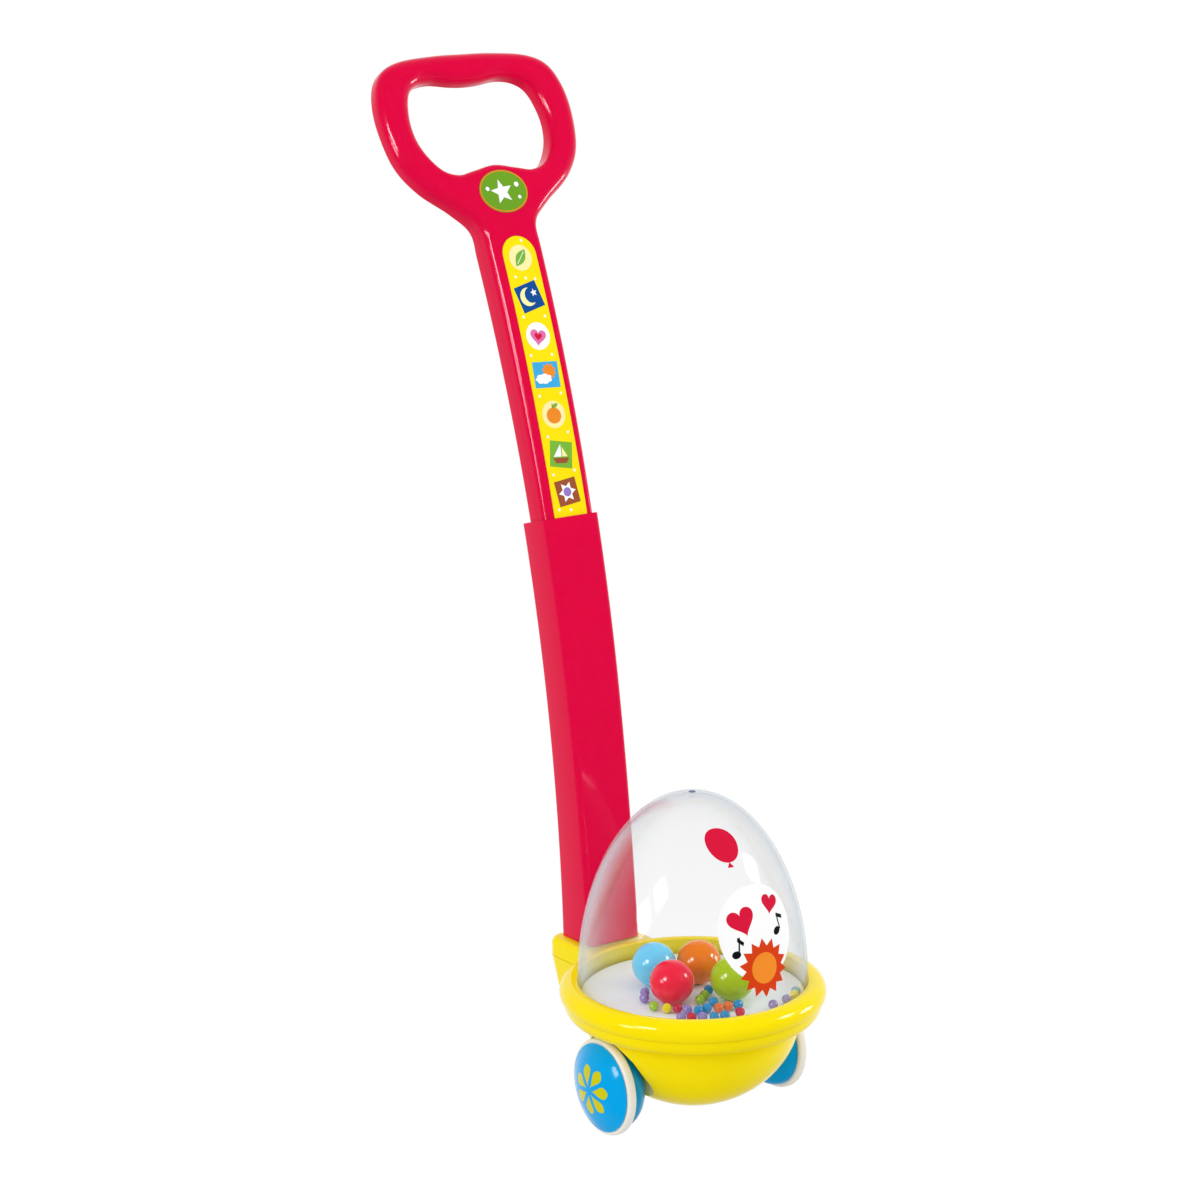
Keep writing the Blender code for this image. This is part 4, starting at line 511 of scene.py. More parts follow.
def join_loops(bm, loops):
    for first, second in zip(loops, loops[1:]):
        for i in range(len(first)):
            j = (i + 1) % len(first)
            add_face(bm, [first[i], first[j], second[j], second[i]])


def close_tube(bm, loops):
    join_loops(bm, loops)
    bm.faces.new(loops[0])
    bm.faces.new(loops[-1])
    bmesh.ops.recalc_face_normals(bm, faces=bm.faces[:])
    return bm


# Handle

GRIP_SHARES = [
    (0.300, 0.125), (0.483, 0.221), (0.763, 0.333), (0.937, 0.467), (1.000, 0.650),
    (0.979, 0.805), (0.876, 0.921), (0.665, 0.978), (0.302, 0.998), (0.000, 1.000),
]
OPENING_SHARES = [
    (0.000, 0.074), (0.297, 0.032), (0.551, 0.000), (0.784, 0.078), (0.949, 0.288), (1.000, 0.558),
    (0.922, 0.836), (0.763, 0.960), (0.508, 1.000), (0.212, 0.970), (0.000, 0.960),
]


def handle_outline():
    """The flat handle's outer outline, anticlockwise from the middle of its foot."""
    stem = []
    for i in range(14):
        share = i / 14
        stem.append((STEM_HALF + STEM_TAPER * share, STEM_FOOT + (NECK - STEM_FOOT) * share))
    grip = [(GRIP_WIDTH * x, NECK + (GRIP_TOP - NECK) * y) for x, y in GRIP_SHARES]
    past = (-grip[-2][0], grip[-2][1])
    run = smooth_run([stem[-1], (STEM_HALF + STEM_TAPER, NECK)] + grip + [past], 8)
    return mirrored([(0.0, STEM_FOOT)] + stem + run)


def opening_outline():
    """The hand opening's outline, anticlockwise from the middle of its foot."""
    rise = OPENING_TOP - OPENING_FOOT
    half = [(OPENING_WIDTH * x, OPENING_FOOT + rise * y) for x, y in OPENING_SHARES]
    return mirrored(smooth_run([(-half[1][0], half[1][1])] + half + [(-half[-2][0], half[-2][1])], 8))


def label_outline(grow):
    half = LABEL_HALF + grow
    foot = LABEL_FOOT - grow
    return [(-half, foot), (half, foot)] + arc(0.0, LABEL_TOP - LABEL_HALF, half, half, 0.0, 180.0, 24)


def edge_rounding(along, face, way):
    """How far an edge is rounded, across and in depth: little on the stem, more round the grip."""
    share = eased(along, NECK, NECK + 0.05) if way > 0.0 else eased(along, OPENING_FOOT + 0.004, OPENING_FOOT + 0.026)
    if face < 0.0:
        return 0.0031 + 0.0013 * share, 0.0031 + 0.0013 * share
    return 0.0040 + 0.0032 * share - (0.0004 if way < 0.0 else 0.0), 0.0058 + 0.0030 * share


def handle_shell(face, recesses):
    """One half of the handle, closed, with a rounded edge round its face and its opening."""
    bm = bmesh.new()
    steps = 10
    last, first = [], []
    for outline, way in ((handle_outline(), 1.0), (opening_outline(), -1.0)):
        radii = [edge_rounding(y, face, way) for _, y in outline]
        rings = [add_loop(bm, outline, face * GAP / 4)]
        for i in range(steps + 1):
            angle = math.radians(90.0 * i / steps)
            insets = [way * wide * (1.0 - math.cos(angle)) for wide, _ in radii]
            depths = [face * (STEM_DEPTH - deep * (1.0 - math.sin(angle))) for _, deep in radii]
            rings.append(add_loop(bm, inset_points(outline, insets), depths))
        insets = [way * (wide + GAP) for wide, _ in radii]
        rings.append(add_loop(bm, inset_points(outline, insets), face * STEM_DEPTH))
        join_loops(bm, rings)
        first.append(rings[0])
        last.append(rings[-1])
    for outline in recesses:
        edge = add_loop(bm, outline, face * STEM_DEPTH)
        floor = add_loop(bm, outline, face * (STEM_DEPTH - 0.0005))
        join_loops(bm, [edge, floor])
        fill(bm, [floor])
        last.append(edge)
    fill(bm, last)
    fill(bm, first)
    return bend_mesh(bm)


def flat_plate(outline):
    """A thin plate in its recess, with its front edge just rounded, bent with the handle."""
    bm = bmesh.new()
    low, high, edge = STEM_DEPTH - 0.0004, STEM_DEPTH + 0.0001, 0.0001
    loops = []
    for inset, depth in ((0.0, low), (0.0, high - edge), (edge, high), (2.5 * edge, high)):
        loops.append(add_loop(bm, inset_points(outline, [inset] * len(outline)), depth))
    join_loops(bm, loops)
    fill(bm, loops[:1])
    fill(bm, loops[-1:])
    return bend_mesh(bm)


def build_handle():
    badge = ellipse(BADGE_WIDTH, BADGE_HEIGHT, 64, BADGE_PLACE)
    recesses = [label_outline(LABEL_GAP), ellipse(BADGE_WIDTH + LABEL_GAP, BADGE_HEIGHT + LABEL_GAP, 64, BADGE_PLACE)]
    piece("handle_front", handle_shell(1.0, recesses), [RED], "base", ["handle_front_shell"])
    piece("handle_rear", handle_shell(-1.0, []), [RED], "base", ["handle_rear_shell"])
    piece("label", flat_plate(label_outline(0.0)), [LABEL], "base", ["label_strip"])
    piece("badge", flat_plate(badge), [GREEN], "base", ["oval_badge"])


def sleeve_section(half, depth, corner, steps):
    """A rectangle with round corners, as (across, depth) points."""
    points = []
    for x, y, start in ((1, 1, 0), (-1, 1, 90), (-1, -1, 180), (1, -1, 270)):
        points += arc(x * (half - corner), y * (depth - corner), corner, corner, start, start + 90, steps)
    return points


def add_sleeve_loop(bm, along, grow):
    share = (along - SLEEVE_FOOT) / (SLEEVE_TOP - SLEEVE_FOOT)
    half = SLEEVE_HALF + SLEEVE_TAPER * share + grow
    flare = max((FLARE_TOP - along) / (FLARE_TOP - SLEEVE_FOOT), 0.0) ** 2
    loop = []
    for across, depth in sleeve_section(half, SLEEVE_DEPTH + grow, 0.0034 + grow * 0.9, 7):
        if depth > 0.0:
            depth += 0.0043 * flare * depth / SLEEVE_DEPTH
        loop.append(bm.verts.new(bend_point(across, depth, along)))
    return loop


def build_sleeve():
    """The curved tube that the stem plugs into."""
    bm = bmesh.new()
    wall = -0.0014
    foot = SLEEVE_FOOT - 0.0002
    count = 48
    levels = [foot + (SLEEVE_TOP - foot) * i / count for i in range(count)]
    path = [(level, 0.0) for level in levels]
    path += [(SLEEVE_TOP - 0.0004, 0.0), (SLEEVE_TOP - 0.0001, -0.0001), (SLEEVE_TOP, -0.0004)]
    path += [(SLEEVE_TOP, wall + 0.0003), (SLEEVE_TOP - 0.0003, wall)]
    path += [(level, wall) for level in reversed(levels) if level > foot + 0.002]
    close_tube(bm, [add_sleeve_loop(bm, along, grow) for along, grow in path])
    piece("sleeve", bm, [RED], "base", ["handle_sleeve"])


# Base shells, dome and floor


def lug_block(grow, front):
    """The lug's block, tapered below the parting line, grown or shrunk by a wall."""
    half, rear = LUG_HALF + grow, LUG_REAR + grow
    low, high = LUG_FOOT - grow, LUG_TOP + grow
    size = Vector((2.0 * half, rear - front, high - low))
    centre = Vector((0.0, (rear + front) / 2, (high + low) / 2))
    bm = bmesh.new()
    bmesh.ops.create_cube(bm, size=1.0, matrix=Matrix.Translation(centre) @ Matrix.Diagonal((*size, 1.0)))
    upright = [e for e in bm.edges if all(v.co.y > centre.y for v in e.verts)]
    upright = [e for e in upright if abs(e.verts[0].co.z - e.verts[1].co.z) > size.z / 2]
    bmesh.ops.bevel(bm, geom=upright, offset=LUG_CORNER + grow, segments=10, profile=0.5, affect="EDGES")
    across = [e for e in bm.edges if abs(e.verts[0].co.z - e.verts[1].co.z) < GAP]
    across = [e for e in across if max(v.co.y for v in e.verts) > centre.y]
    bmesh.ops.bevel(bm, geom=across, offset=LUG_EDGE + grow, segments=6, profile=0.5, affect="EDGES")
    bmesh.ops.bisect_plane(
        bm,
        geom=bm.verts[:] + bm.edges[:] + bm.faces[:],
        plane_co=(0.0, 0.0, PARTING),
        plane_no=(0.0, 0.0, 1.0),
    )
    for vert in bm.verts:
        share = max(PARTING - vert.co.z, 0.0) / (PARTING - LUG_FOOT)
        vert.co.x *= 1.0 - share * (1.0 - LUG_FOOT_HALF / LUG_HALF)
        vert.co.y -= share * 0.0045 * (vert.co.y - front) / (rear - front)
    return bm


def hollow_lug(*cuts):
    """The lug as a hollow box round the axis, with profiles of (profile, closed) turned out of it."""
    boxes = [lug_block(0.0, LUG_FRONT), lug_block(-LUG_WALL, LUG_FRONT - OVERCUT)]
    for bm in boxes:
        bmesh.ops.transform(bm, matrix=ON_AXIS, verts=bm.verts)
    steps = [("DIFFERENCE", turned(profile, ON_AXIS, closed=closed)) for profile, closed in cuts]
    return combine(boxes[0], ("DIFFERENCE", boxes[1]), *steps)


def bowl_height(radius, mouth, foot):
    share = min(radius / mouth, 1.0)
    return BOWL_MOUTH - (BOWL_MOUTH - foot) * (1.0 - share**BOWL_POWER) ** (1.0 / BOWL_POWER)


def bowl_wall(mouth, foot, steps):
    """Points down the bowl's round wall, from its mouth to the edge of its flat foot."""
    flat_turn = math.acos((BOWL_FLAT / mouth) ** (BOWL_POWER / 2.0))
    radii = [mouth * math.cos(flat_turn * i / steps) ** (2.0 / BOWL_POWER) for i in range(steps + 1)]
    return [(radius, bowl_height(radius, mouth, foot)) for radius in radii]


def band_outline(top, inset, steps=10):
    """Points down the band under the parting line and round to the bowl's mouth."""
    drop = PARTING - BAND_FOOT - inset
    reach = (BAND_RADIUS - BOWL_RADIUS) * 0.45
    curve = arc(BAND_RADIUS - inset - reach, PARTING, reach, drop, 0.0, -90.0, steps)
    return [(BAND_RADIUS - inset, top)] + curve[1:]


def build_rim():
    """The upper shell: a fat hollow roll round the dome, and the top of the lug."""
    centre = RIM_RADIUS - ROLL_RADIUS
    bore = DOME_RADIUS + GAP
    skirt = bore + RIM_WALL
    foot = PARTING + GAP / 2
    trimmed = foot - 0.001
    inner = ROLL_RADIUS - RIM_WALL
    foot_turn = math.degrees(math.asin((trimmed - ROLL_HEIGHT) / ROLL_RADIUS))
    top_turn = math.degrees(math.acos((bore - centre) / ROLL_RADIUS))
    skirt_turn = math.degrees(math.acos((skirt - centre) / inner))
    outside = arc(centre, ROLL_HEIGHT, ROLL_RADIUS, ROLL_RADIUS, top_turn, foot_turn, 26)
    inside = arc(centre, ROLL_HEIGHT, inner, inner, -80.0, skirt_turn, 12)
    inside = [point for point in inside if point[1] > trimmed]
    profile = outside + [(inside[0][0], trimmed)] + inside + [(skirt, RIM_SKIRT_FOOT), (bore, RIM_SKIRT_FOOT)]
    middle = ROLL_RADIUS - RIM_WALL / 2
    low, high, reach = LUG_FOOT - OVERCUT, LUG_TOP + OVERCUT, 2.0 * LUG_REAR
    front = [(0.0, high), (centre, high)]
    front += arc(centre, ROLL_HEIGHT, middle, middle, 90.0, 0.0, 12)
    front += [(centre + middle, low), (0.0, low)]
    lug = hollow_lug((front, False))
    ring = [(reach, foot), (reach, low), (skirt + GAP / 2, low), (skirt + GAP / 2, foot)]
    mouth = bmesh.new()
    loops = []
    for along in (-0.006, 0.01, 0.03):
        section = sleeve_section(0.0165, 0.0119, 0.0028, 5)
        loops.append([mouth.verts.new(bend_point(x, depth, along)) for x, depth in section])
    close_tube(mouth, loops)
    rim = combine(
        turned(profile, ON_AXIS, closed=True),
        ("UNION", lug),
        ("DIFFERENCE", turned(ring, ON_AXIS, closed=True)),
        ("DIFFERENCE", mouth),
    )
    piece("rim", rim, [YELLOW], "base", ["rim_shell"], 32.0)


def well_profile(grow, steps):
    """A wheel well turned about the axle, from past the wheel in to its floor."""
    floor, radius, mouth = WELL_FLOOR - grow, WELL_RADIUS + grow, WELL_MOUTH + grow
    far, lip, bend = 0.079, 0.0555, 0.05
    profile = [(0.0, far), (mouth, far), (mouth, lip)]
    profile += arc(0.0, bend, radius, bend - floor, 0.0, -90.0, steps)
    profile[-1] = (0.0, floor)
    return profile


def build_bowl():
    """The lower shell: bowl, wheel wells and the foot of the lug."""
    inner_mouth = BOWL_RADIUS - BOWL_WALL
    flat = bowl_height(BOWL_FLAT, BOWL_RADIUS, BOWL_FOOT)
    inner = bowl_wall(inner_mouth, BOWL_FOOT + BOWL_WALL, 12)
    top = PARTING - GAP / 2
    stop = inner_mouth + BOWL_WALL
    profile = [(0.0, inner[-1][1])] + list(reversed(inner))
    profile += [(inner_mouth, FLOOR_STOP), (stop, FLOOR_STOP), (stop, SHOULDER)]
    profile += list(reversed(band_outline(top, BOWL_WALL, 6)))
    profile += band_outline(top, 0.0)
    profile += bowl_wall(BOWL_RADIUS, BOWL_FOOT, 28)
    profile += [(0.0, flat)]
    low, high, reach = top, LUG_TOP + OVERCUT, 2.0 * LUG_REAR
    middle = BOWL_WALL / 2
    core = bowl_wall(BOWL_RADIUS - middle, BOWL_FOOT + middle, 20) + [(0.0, flat + middle)]
    front = [(0.0, high)] + [(radius - middle, height) for radius, height in band_outline(high, 0.0)] + core
    skirt = (BOWL_RADIUS + BAND_RADIUS) / 2 - RIM_WALL
    seam, past_seam = 0.0740, 0.0745
    trim = [(reach, high), (reach, low), (seam, low), (seam, high)]
    inside_top = [(0.0, high), (past_seam, high), (past_seam, low), (skirt, low)]
    inside_top += [(skirt, RIM_SKIRT_FOOT), (0.0, RIM_SKIRT_FOOT)]
    lug = combine(hollow_lug((front, False), (trim, True)), ("DIFFERENCE", turned(inside_top, ON_AXIS)))
    steps = [("UNION", lug)]
    for side in (-1, 1):
        body = [(0.0, BOWL_MOUTH + middle), (BOWL_RADIUS - middle, BOWL_MOUTH + middle)] + core
        lining = turned(well_profile(BOWL_WALL, 10), side_place(side), 96)
        steps.append(("UNION", combine(lining, ("INTERSECT", turned(body, ON_AXIS)))))
    for side in (-1, 1):
        steps.append(("DIFFERENCE", turned(well_profile(0.0, 12), side_place(side), 96)))
    bore = [(0.0, 0.08), (AXLE_RADIUS, 0.08), (AXLE_RADIUS, -0.08), (0.0, -0.08)]
    steps.append(("DIFFERENCE", turned(bore, side_place(1), 24)))
    piece("bowl", combine(turned(profile, ON_AXIS), *steps), [YELLOW], "base", ["bowl_shell"], 32.0)


def build_dome():
    """The clear dome, with the nub at its top that moulding leaves and its clamped flange."""
    tip = DOME_BASE + DOME_RISE
    bore = DOME_RADIUS - DOME_WALL
    steps = 64
    profile = [(0.0, tip + 0.0005), (0.0018, tip + 0.0005), (0.0020, tip + 0.0003), (0.0021, tip - 0.0001)]
    outside = arc(0.0, DOME_BASE, DOME_RADIUS, DOME_RISE, 90.0, 0.0, steps)
    profile += [point for point in outside if point[0] > 0.0025]
    profile += [(DOME_RADIUS, FLANGE_TOP), (0.066, FLANGE_TOP), (0.066, FLANGE_FOOT), (bore, FLANGE_FOOT)]
    profile += arc(0.0, DOME_BASE, bore, DOME_RISE - DOME_WALL, 0.0, 90.0, steps)[:-1]
    profile.append((0.0, tip - DOME_WALL))
    bm = turned(profile, ON_AXIS)
    # The nub's faces at the top take the painted shade
    for face in bm.faces:
        if face.calc_center_median().z > tip + 0.0002:
            face.material_index = 1
    piece("clear_dome", bm, [CLEAR, NUB_PAINTED_SHADE], "base", ["dome"])


def build_floor():
    """The hopping floor: a disc with a soft edge over the striker's boss."""
    foot, top = 0.0695, 0.0710
    profile = [(0.0, top), (0.0622, top), (0.0625, top - 0.0001), (0.0626, top - 0.0004), (0.0626, foot + 0.0003)]
    boss = foot - 0.0024
    profile += [(0.0623, foot), (0.008, foot), (0.008, boss), (0.0043, boss), (0.0043, foot), (0.0, foot)]
    piece("floor_disc", turned(profile, ON_AXIS), [WHITE], "floor_set", ["hopping_floor"])


# Wheels


def cap_height(radius):
    """How far out the bulged face is at a distance from the axle."""
    ball = (FACE_RADIUS**2 + BULGE**2) / (2.0 * BULGE)
    return TYRE_OUTER + GAP + BULGE - ball + math.sqrt(ball**2 - radius**2)


def petal(steps=14):
    """A drop-shaped petal along x, round at its far end."""
    shares = [i / steps for i in range(steps + 1)]
    half = [(0.0025 + 0.0122 * share, 0.0034 * math.sin(math.pi * share**1.9) ** 0.75) for share in shares]
    return half + [(x, -y) for x, y in reversed(half[1:-1])]


def build_wheel(side):
    word = "left" if side > 0 else "right"
    place = side_place(side)
    outer, inner = TYRE_OUTER, TYRE_INNER
    tyre = [(TYRE_BORE, outer), (0.0262, outer), (0.0271, outer - 0.0006), (TYRE_RADIUS, outer - 0.0018)]
    tyre += [(radius, inner + outer - height) for radius, height in reversed(tyre)]
    tyre = turned(rounded(tyre, (1, 2, 5, 6), 0.0004), place, closed=True)
    piece(f"tyre_{word}", tyre, [CREAM], "axle_set", [f"wheel_tyre_{word}"], 50.0)

    face = outer + GAP
    spigot = TYRE_BORE - GAP
    bore = spigot - 0.0015
    cap = [(FACE_RADIUS * i / 24, cap_height(FACE_RADIUS * i / 24)) for i in range(24)]
    cap += [(FACE_RADIUS - 0.0001, face + 0.0004), (FACE_RADIUS - 0.0002, face), (spigot, face)]
    cap += [(spigot, face - SPIGOT), (bore, face - SPIGOT)]
    cap += [(radius, cap_height(radius) - CAP_WALL) for radius in (0.0210, 0.0160, 0.0110, BOSS_RADIUS)]
    cap += [(BOSS_RADIUS, face - SPIGOT), (AXLE_RADIUS, face - SPIGOT), (AXLE_RADIUS, AXLE_END), (0.0, AXLE_END)]
    piece(f"cap_{word}", turned(cap, place), [BLUE], "axle_set", [f"wheel_cap_{word}"])

    near = inner - GAP
    axle_turn = math.degrees(math.asin(AXLE_RADIUS / FACE_RADIUS)) - 90.0
    boss_turn = math.degrees(math.asin(BOSS_RADIUS / HUB_BORE)) - 90.0
    hub = [(spigot, near + SPIGOT), (spigot, near)]
    hub += arc(0.0, near, FACE_RADIUS, HUB_DEPTH, 0.0, axle_turn, 19)
    hub += [(AXLE_RADIUS, outer - SPIGOT), (BOSS_RADIUS, outer - SPIGOT)]
    hub += arc(0.0, near, HUB_BORE, HUB_DEPTH - CAP_WALL, boss_turn, -10.0, 11)
    hub += [(bore, near), (bore, near + SPIGOT)]
    # The hub takes the cap's blue with painted shade
    piece(f"hub_{word}", turned(hub, place, closed=True), [HUB_BLUE_SHADED], "axle_set", [f"wheel_hub_{word}"])

    bm = bmesh.new()
    for i in range(7):
        outline = placed(petal(), 0.0, 0.0, math.degrees(math.tau * i / 7 + 0.35))
        fill(bm, [[bm.verts.new((x, y, 0.0)) for x, y in outline]])
    for axis in (0, 1):
        slice_mesh(bm, axis, 0.0012)
    for vert in bm.verts:
        vert.co.z = cap_height(vert.co.xy.length) + 0.00004
    bmesh.ops.transform(bm, matrix=place, verts=bm.verts)
    face_towards(bm, lambda centre: Vector((side, 0.0, 0.0)))
    piece(f"petals_{word}", bm, [PETAL], "axle_set", [])


def face_towards(bm, direction):
    """Turns each face of a thin print so that it looks outwards."""
    bm.normal_update()
    wrong = [face for face in bm.faces if face.normal.dot(direction(face.calc_center_median())) < 0.0]
    bmesh.ops.reverse_faces(bm, faces=wrong)


# Balls and beads


def ball_profile(radius, mark, steps):
    """A moulded ball, with a small ring at its pole where it has a mark."""
    angles = [0.0, 3.0, 4.0, 4.7, 5.4, 6.2, 7.5] + [7.5 + 165.0 * i / steps for i in range(1, steps)] + [172.5, 180.0]
    points = []
    for angle in angles:
        turn = math.radians(angle)
        grown = radius
        if mark and 4.4 < angle < 5.8:
            grown -= 0.00009
        if mark and angle < 3.5:
            grown -= 0.00003
        points.append((grown * math.sin(turn), grown * math.cos(turn)))
    points[-1] = (0.0, -radius)
    return points


def centre_of(node):
    low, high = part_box(node)
    return (low + high) / 2


def build_balls():
    for name, (tone, mark) in BALLS.items():
        turn = Vector(mark).to_track_quat("Z", "Y").to_matrix().to_4x4()
        place = Matrix.Translation(centre_of(name)) @ turn
        skin = plastic(f"{name}_skin", tone, 0.16, 0.45, vary=0.03, soft=0.12)
        bm = turned(ball_profile(BALL_RADIUS, True, 44), place, 88)
        piece(f"{name}_round", bm, [skin], f"{name}_body", [name], 60.0)


def build_beads():
    skins = {}
    for name, tone in BEAD_TONES.items():
        skins[name] = plastic(f"bead_{name}_skin", tone, 0.12, 0.5, vary=0.05, soft=0.3)
    for node in sorted(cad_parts):
        if not node.startswith("bead_"):
            continue
        tone = node.split("_")[1]
        bm = turned(ball_profile(BEAD_RADIUS, False, 12), Matrix.Translation(centre_of(node)), 28)
        piece(f"{node}_round", bm, [skins[tone]], "beads", [node], 60.0)


# Prints on the label, the badge and the dome, as shapes in millimetres


def ring_points(radius, count=36, squash=1.0):
    return ellipse(radius, radius * squash, count)


def star(points, outer, inner, start=90.0):
    turns = [math.radians(start + 180.0 * i / points) for i in range(2 * points)]
    radii = [outer, inner] * points
    return [(radius * math.cos(turn), radius * math.sin(turn)) for radius, turn in zip(radii, turns)]


def box_points(width, height):
    return [(-width / 2, -height / 2), (width / 2, -height / 2), (width / 2, height / 2), (-width / 2, height / 2)]


def heart(size):
    made = []
    for i in range(40):
        t = math.tau * i / 40
        x = 16 * math.sin(t) ** 3
        y = 13 * math.cos(t) - 5 * math.cos(2 * t) - 2 * math.cos(3 * t) - math.cos(4 * t)
        made.append((x * size / 32, y * size / 32))
    made.reverse()
    return made


def crescent(radius):
    outer = arc(0.0, 0.0, radius, radius, 60.0, 300.0, 24)
    inner = arc(radius * 0.5, 0.0, radius * 0.866, radius * 0.866, 270.0, 90.0, 20)
    return outer + inner[1:-1]


def leaf(length, width):
    upper = [(length * (i / 16 - 0.5), width * math.sin(math.pi * i / 16) / 2) for i in range(17)]
    lower = [(x, -y) for x, y in reversed(upper[1:-1])]
    return list(reversed(upper + lower))


def cloud(width, height, bumps, depth):
    made = []
    for i in range(bumps * 10):
        angle = math.tau * i / (bumps * 10)
        swell = 1.0 - depth + depth * abs(math.sin(bumps * angle / 2.0))
        made.append((width / 2 * swell * math.cos(angle), height / 2 * swell * math.sin(angle)))
    return made


def print_mesh(shapes, wrap, step):
    """Flat shapes of (ink, layer, outline) cut fine and wrapped on a surface."""
    bm = bmesh.new()
    for ink, layer, outline in shapes:
        part = bmesh.new()
        corners = [part.verts.new((x * 0.001, 0.0, y * 0.001)) for x, y in outline]
        fill(part, [corners], list(INKS).index(ink))
        for axis in (0, 2):
            slice_mesh(part, axis, step)
        for vert in part.verts:
            vert.co = wrap(vert.co.x, vert.co.z, layer)
        mesh = bpy.data.meshes.new("print")
        part.to_mesh(mesh)
        part.free()
        bm.from_mesh(mesh)
        bpy.data.meshes.remove(mesh)
    return bm


def laid_out(pictures):
    """Prints of (ink, layer, points, x, y, turn), listed under the height that y is counted from."""
    shapes = []
    for height, picture in pictures.items():
        for ink, layer, points, *place in picture:
            x, y, turn = (*place, 0.0, 0.0, 0.0)[:3]
            shapes.append((ink, layer, placed(points, x, height + y, turn)))
    return shapes


def label_shapes():
    """Seven small pictures up the strip, with white dots between them."""
    hull = [(-3.6, -5.0), (3.6, -5.0), (5.6, -1.9), (-5.6, -1.9)]
    pictures = {
        424.0: [
            ("cream", 0, ring_points(7.6)),
            ("leaf", 1, leaf(12.5, 6.0), 0.0, 0.0, 50.0),
            ("white", 2, box_points(9.0, 0.4), 0.0, 0.0, 50.0),
        ],
        401.0: [
            ("navy", 0, box_points(15.5, 15.5), 0.0, 0.0, 14.0),
            ("cream", 1, crescent(5.4), -0.8, 0.0, 20.0),
            ("white", 1, star(5, 2.4, 1.0), 3.4, 2.2, 10.0),
        ],
        378.0: [
            ("white", 0, ring_points(8.0)),
            ("pink", 1, heart(10.5), 0.0, -0.3, -12.0),
            ("red", 2, heart(5.0), 0.0, -0.2, -12.0),
        ],
        355.5: [
            ("sky", 0, box_points(17.0, 15.0), 0.2, 0.0, -3.0),
            ("orange", 1, star(10, 5.0, 3.6), 2.4, 1.8),
            ("white", 2, cloud(11.5, 6.0, 7, 0.16), -2.0, -2.2),
        ],
        332.5: [
            ("cream", 0, ring_points(7.8)),
            ("orange", 1, ring_points(4.9, squash=0.94), 0.0, -0.6),
            ("leaf", 2, leaf(4.6, 2.2), 1.9, 5.0, 28.0),
            ("brown", 2, box_points(0.6, 2.6), 0.0, 5.0, -8.0),
        ],
        309.5: [
            ("leaf", 0, box_points(15.0, 15.0), 0.0, 0.0, -11.0),
            ("white", 1, [(-5.0, -1.2), (0.4, -1.2), (0.4, 6.0)], -0.2, 0.0, -4.0),
            ("cream", 1, [(1.0, -1.2), (4.6, -1.2), (1.0, 4.4)], -0.2, 0.0, -4.0),
            ("brown", 1, hull, -0.2, 0.0, -4.0),
        ],
        288.0: [
            ("brown", 0, box_points(14.6, 14.6), 0.0, 0.0, 7.0),
            ("white", 1, star(6, 6.0, 3.3, 60.0), 0.0, 0.0, 7.0),
            ("lilac", 2, ring_points(2.6)),
        ],
    }
    dots = [(-6.2, 413.2), (6.6, 411.0), (7.6, 389.0), (-7.0, 389.8), (6.8, 366.6), (-7.4, 367.4), (7.6, 344.2)]
    dots += [(-7.2, 343.8), (7.4, 321.6), (-6.8, 320.4), (-7.4, 298.6), (7.4, 299.6), (0.6, 277.6), (-7.4, 278.6)]
    dots += [(3.2, 434.0), (0.4, 412.0)]
    pictures[0.0] = [("white", 0, ring_points(0.8, 14), x, y) for x, y in dots]
    return laid_out(pictures)


def badge_shapes():
    place = BADGE_PLACE * 1000.0
    outer, inner = ellipse(16.0, 12.5, 64), ellipse(15.3, 11.8, 64)
    picture = [("orange", 0, [outer[i - 1], outer[i], inner[i], inner[i - 1]]) for i in range(64)]
    picture.append(("white", 0, star(5, 7.6, 3.3), -1.2, -0.4, 8.0))
    for radius, x, y in ((1.5, 9.6, 3.4), (1.1, 9.8, -4.2), (1.3, -10.6, 2.0)):
        picture.append(("white", 0, ring_points(radius, 20), x, y))
    return laid_out({place: picture})


def on_handle(across, along, layer):
    return bend_point(across, STEM_OFFSET + STEM_DEPTH + 0.00013 + 0.00003 * layer, along)


DOME_STEPS = 400
DOME_CURVE = arc(0.0, 0.0, DOME_RADIUS, DOME_RISE, 0.0, 90.0, DOME_STEPS)
DOME_RUNS = [0.0]
for start, end in zip(DOME_CURVE, DOME_CURVE[1:]):
    DOME_RUNS.append(DOME_RUNS[-1] + math.dist(start, end))


def dome_turn(run):
    """The ellipse's angle at a distance up the dome's wall."""
    for i, (low, high) in enumerate(zip(DOME_RUNS, DOME_RUNS[1:])):
        if run <= high:
            return math.radians(90.0 * (i + (run - low) / (high - low)) / DOME_STEPS)
    return math.radians(90.0)


def on_dome(across, run, layer):
    """Wraps a print round the front of the dome, with run measured up its wall."""
    turn = dome_turn(max(run, 0.0))
    radius, height = DOME_RADIUS * math.cos(turn), DOME_BASE + DOME_RISE * math.sin(turn)
    around = math.radians(-90.0) + across / max(radius, 0.004)
    lift = 0.00005 + 0.00004 * layer
    slope = Vector((math.cos(turn) / DOME_RADIUS, math.sin(turn) / DOME_RISE)).normalized()
    radius, height = radius + lift * slope.x, height + lift * slope.y
    return Vector((radius * math.cos(around), AXIS_Y + radius * math.sin(around), height))


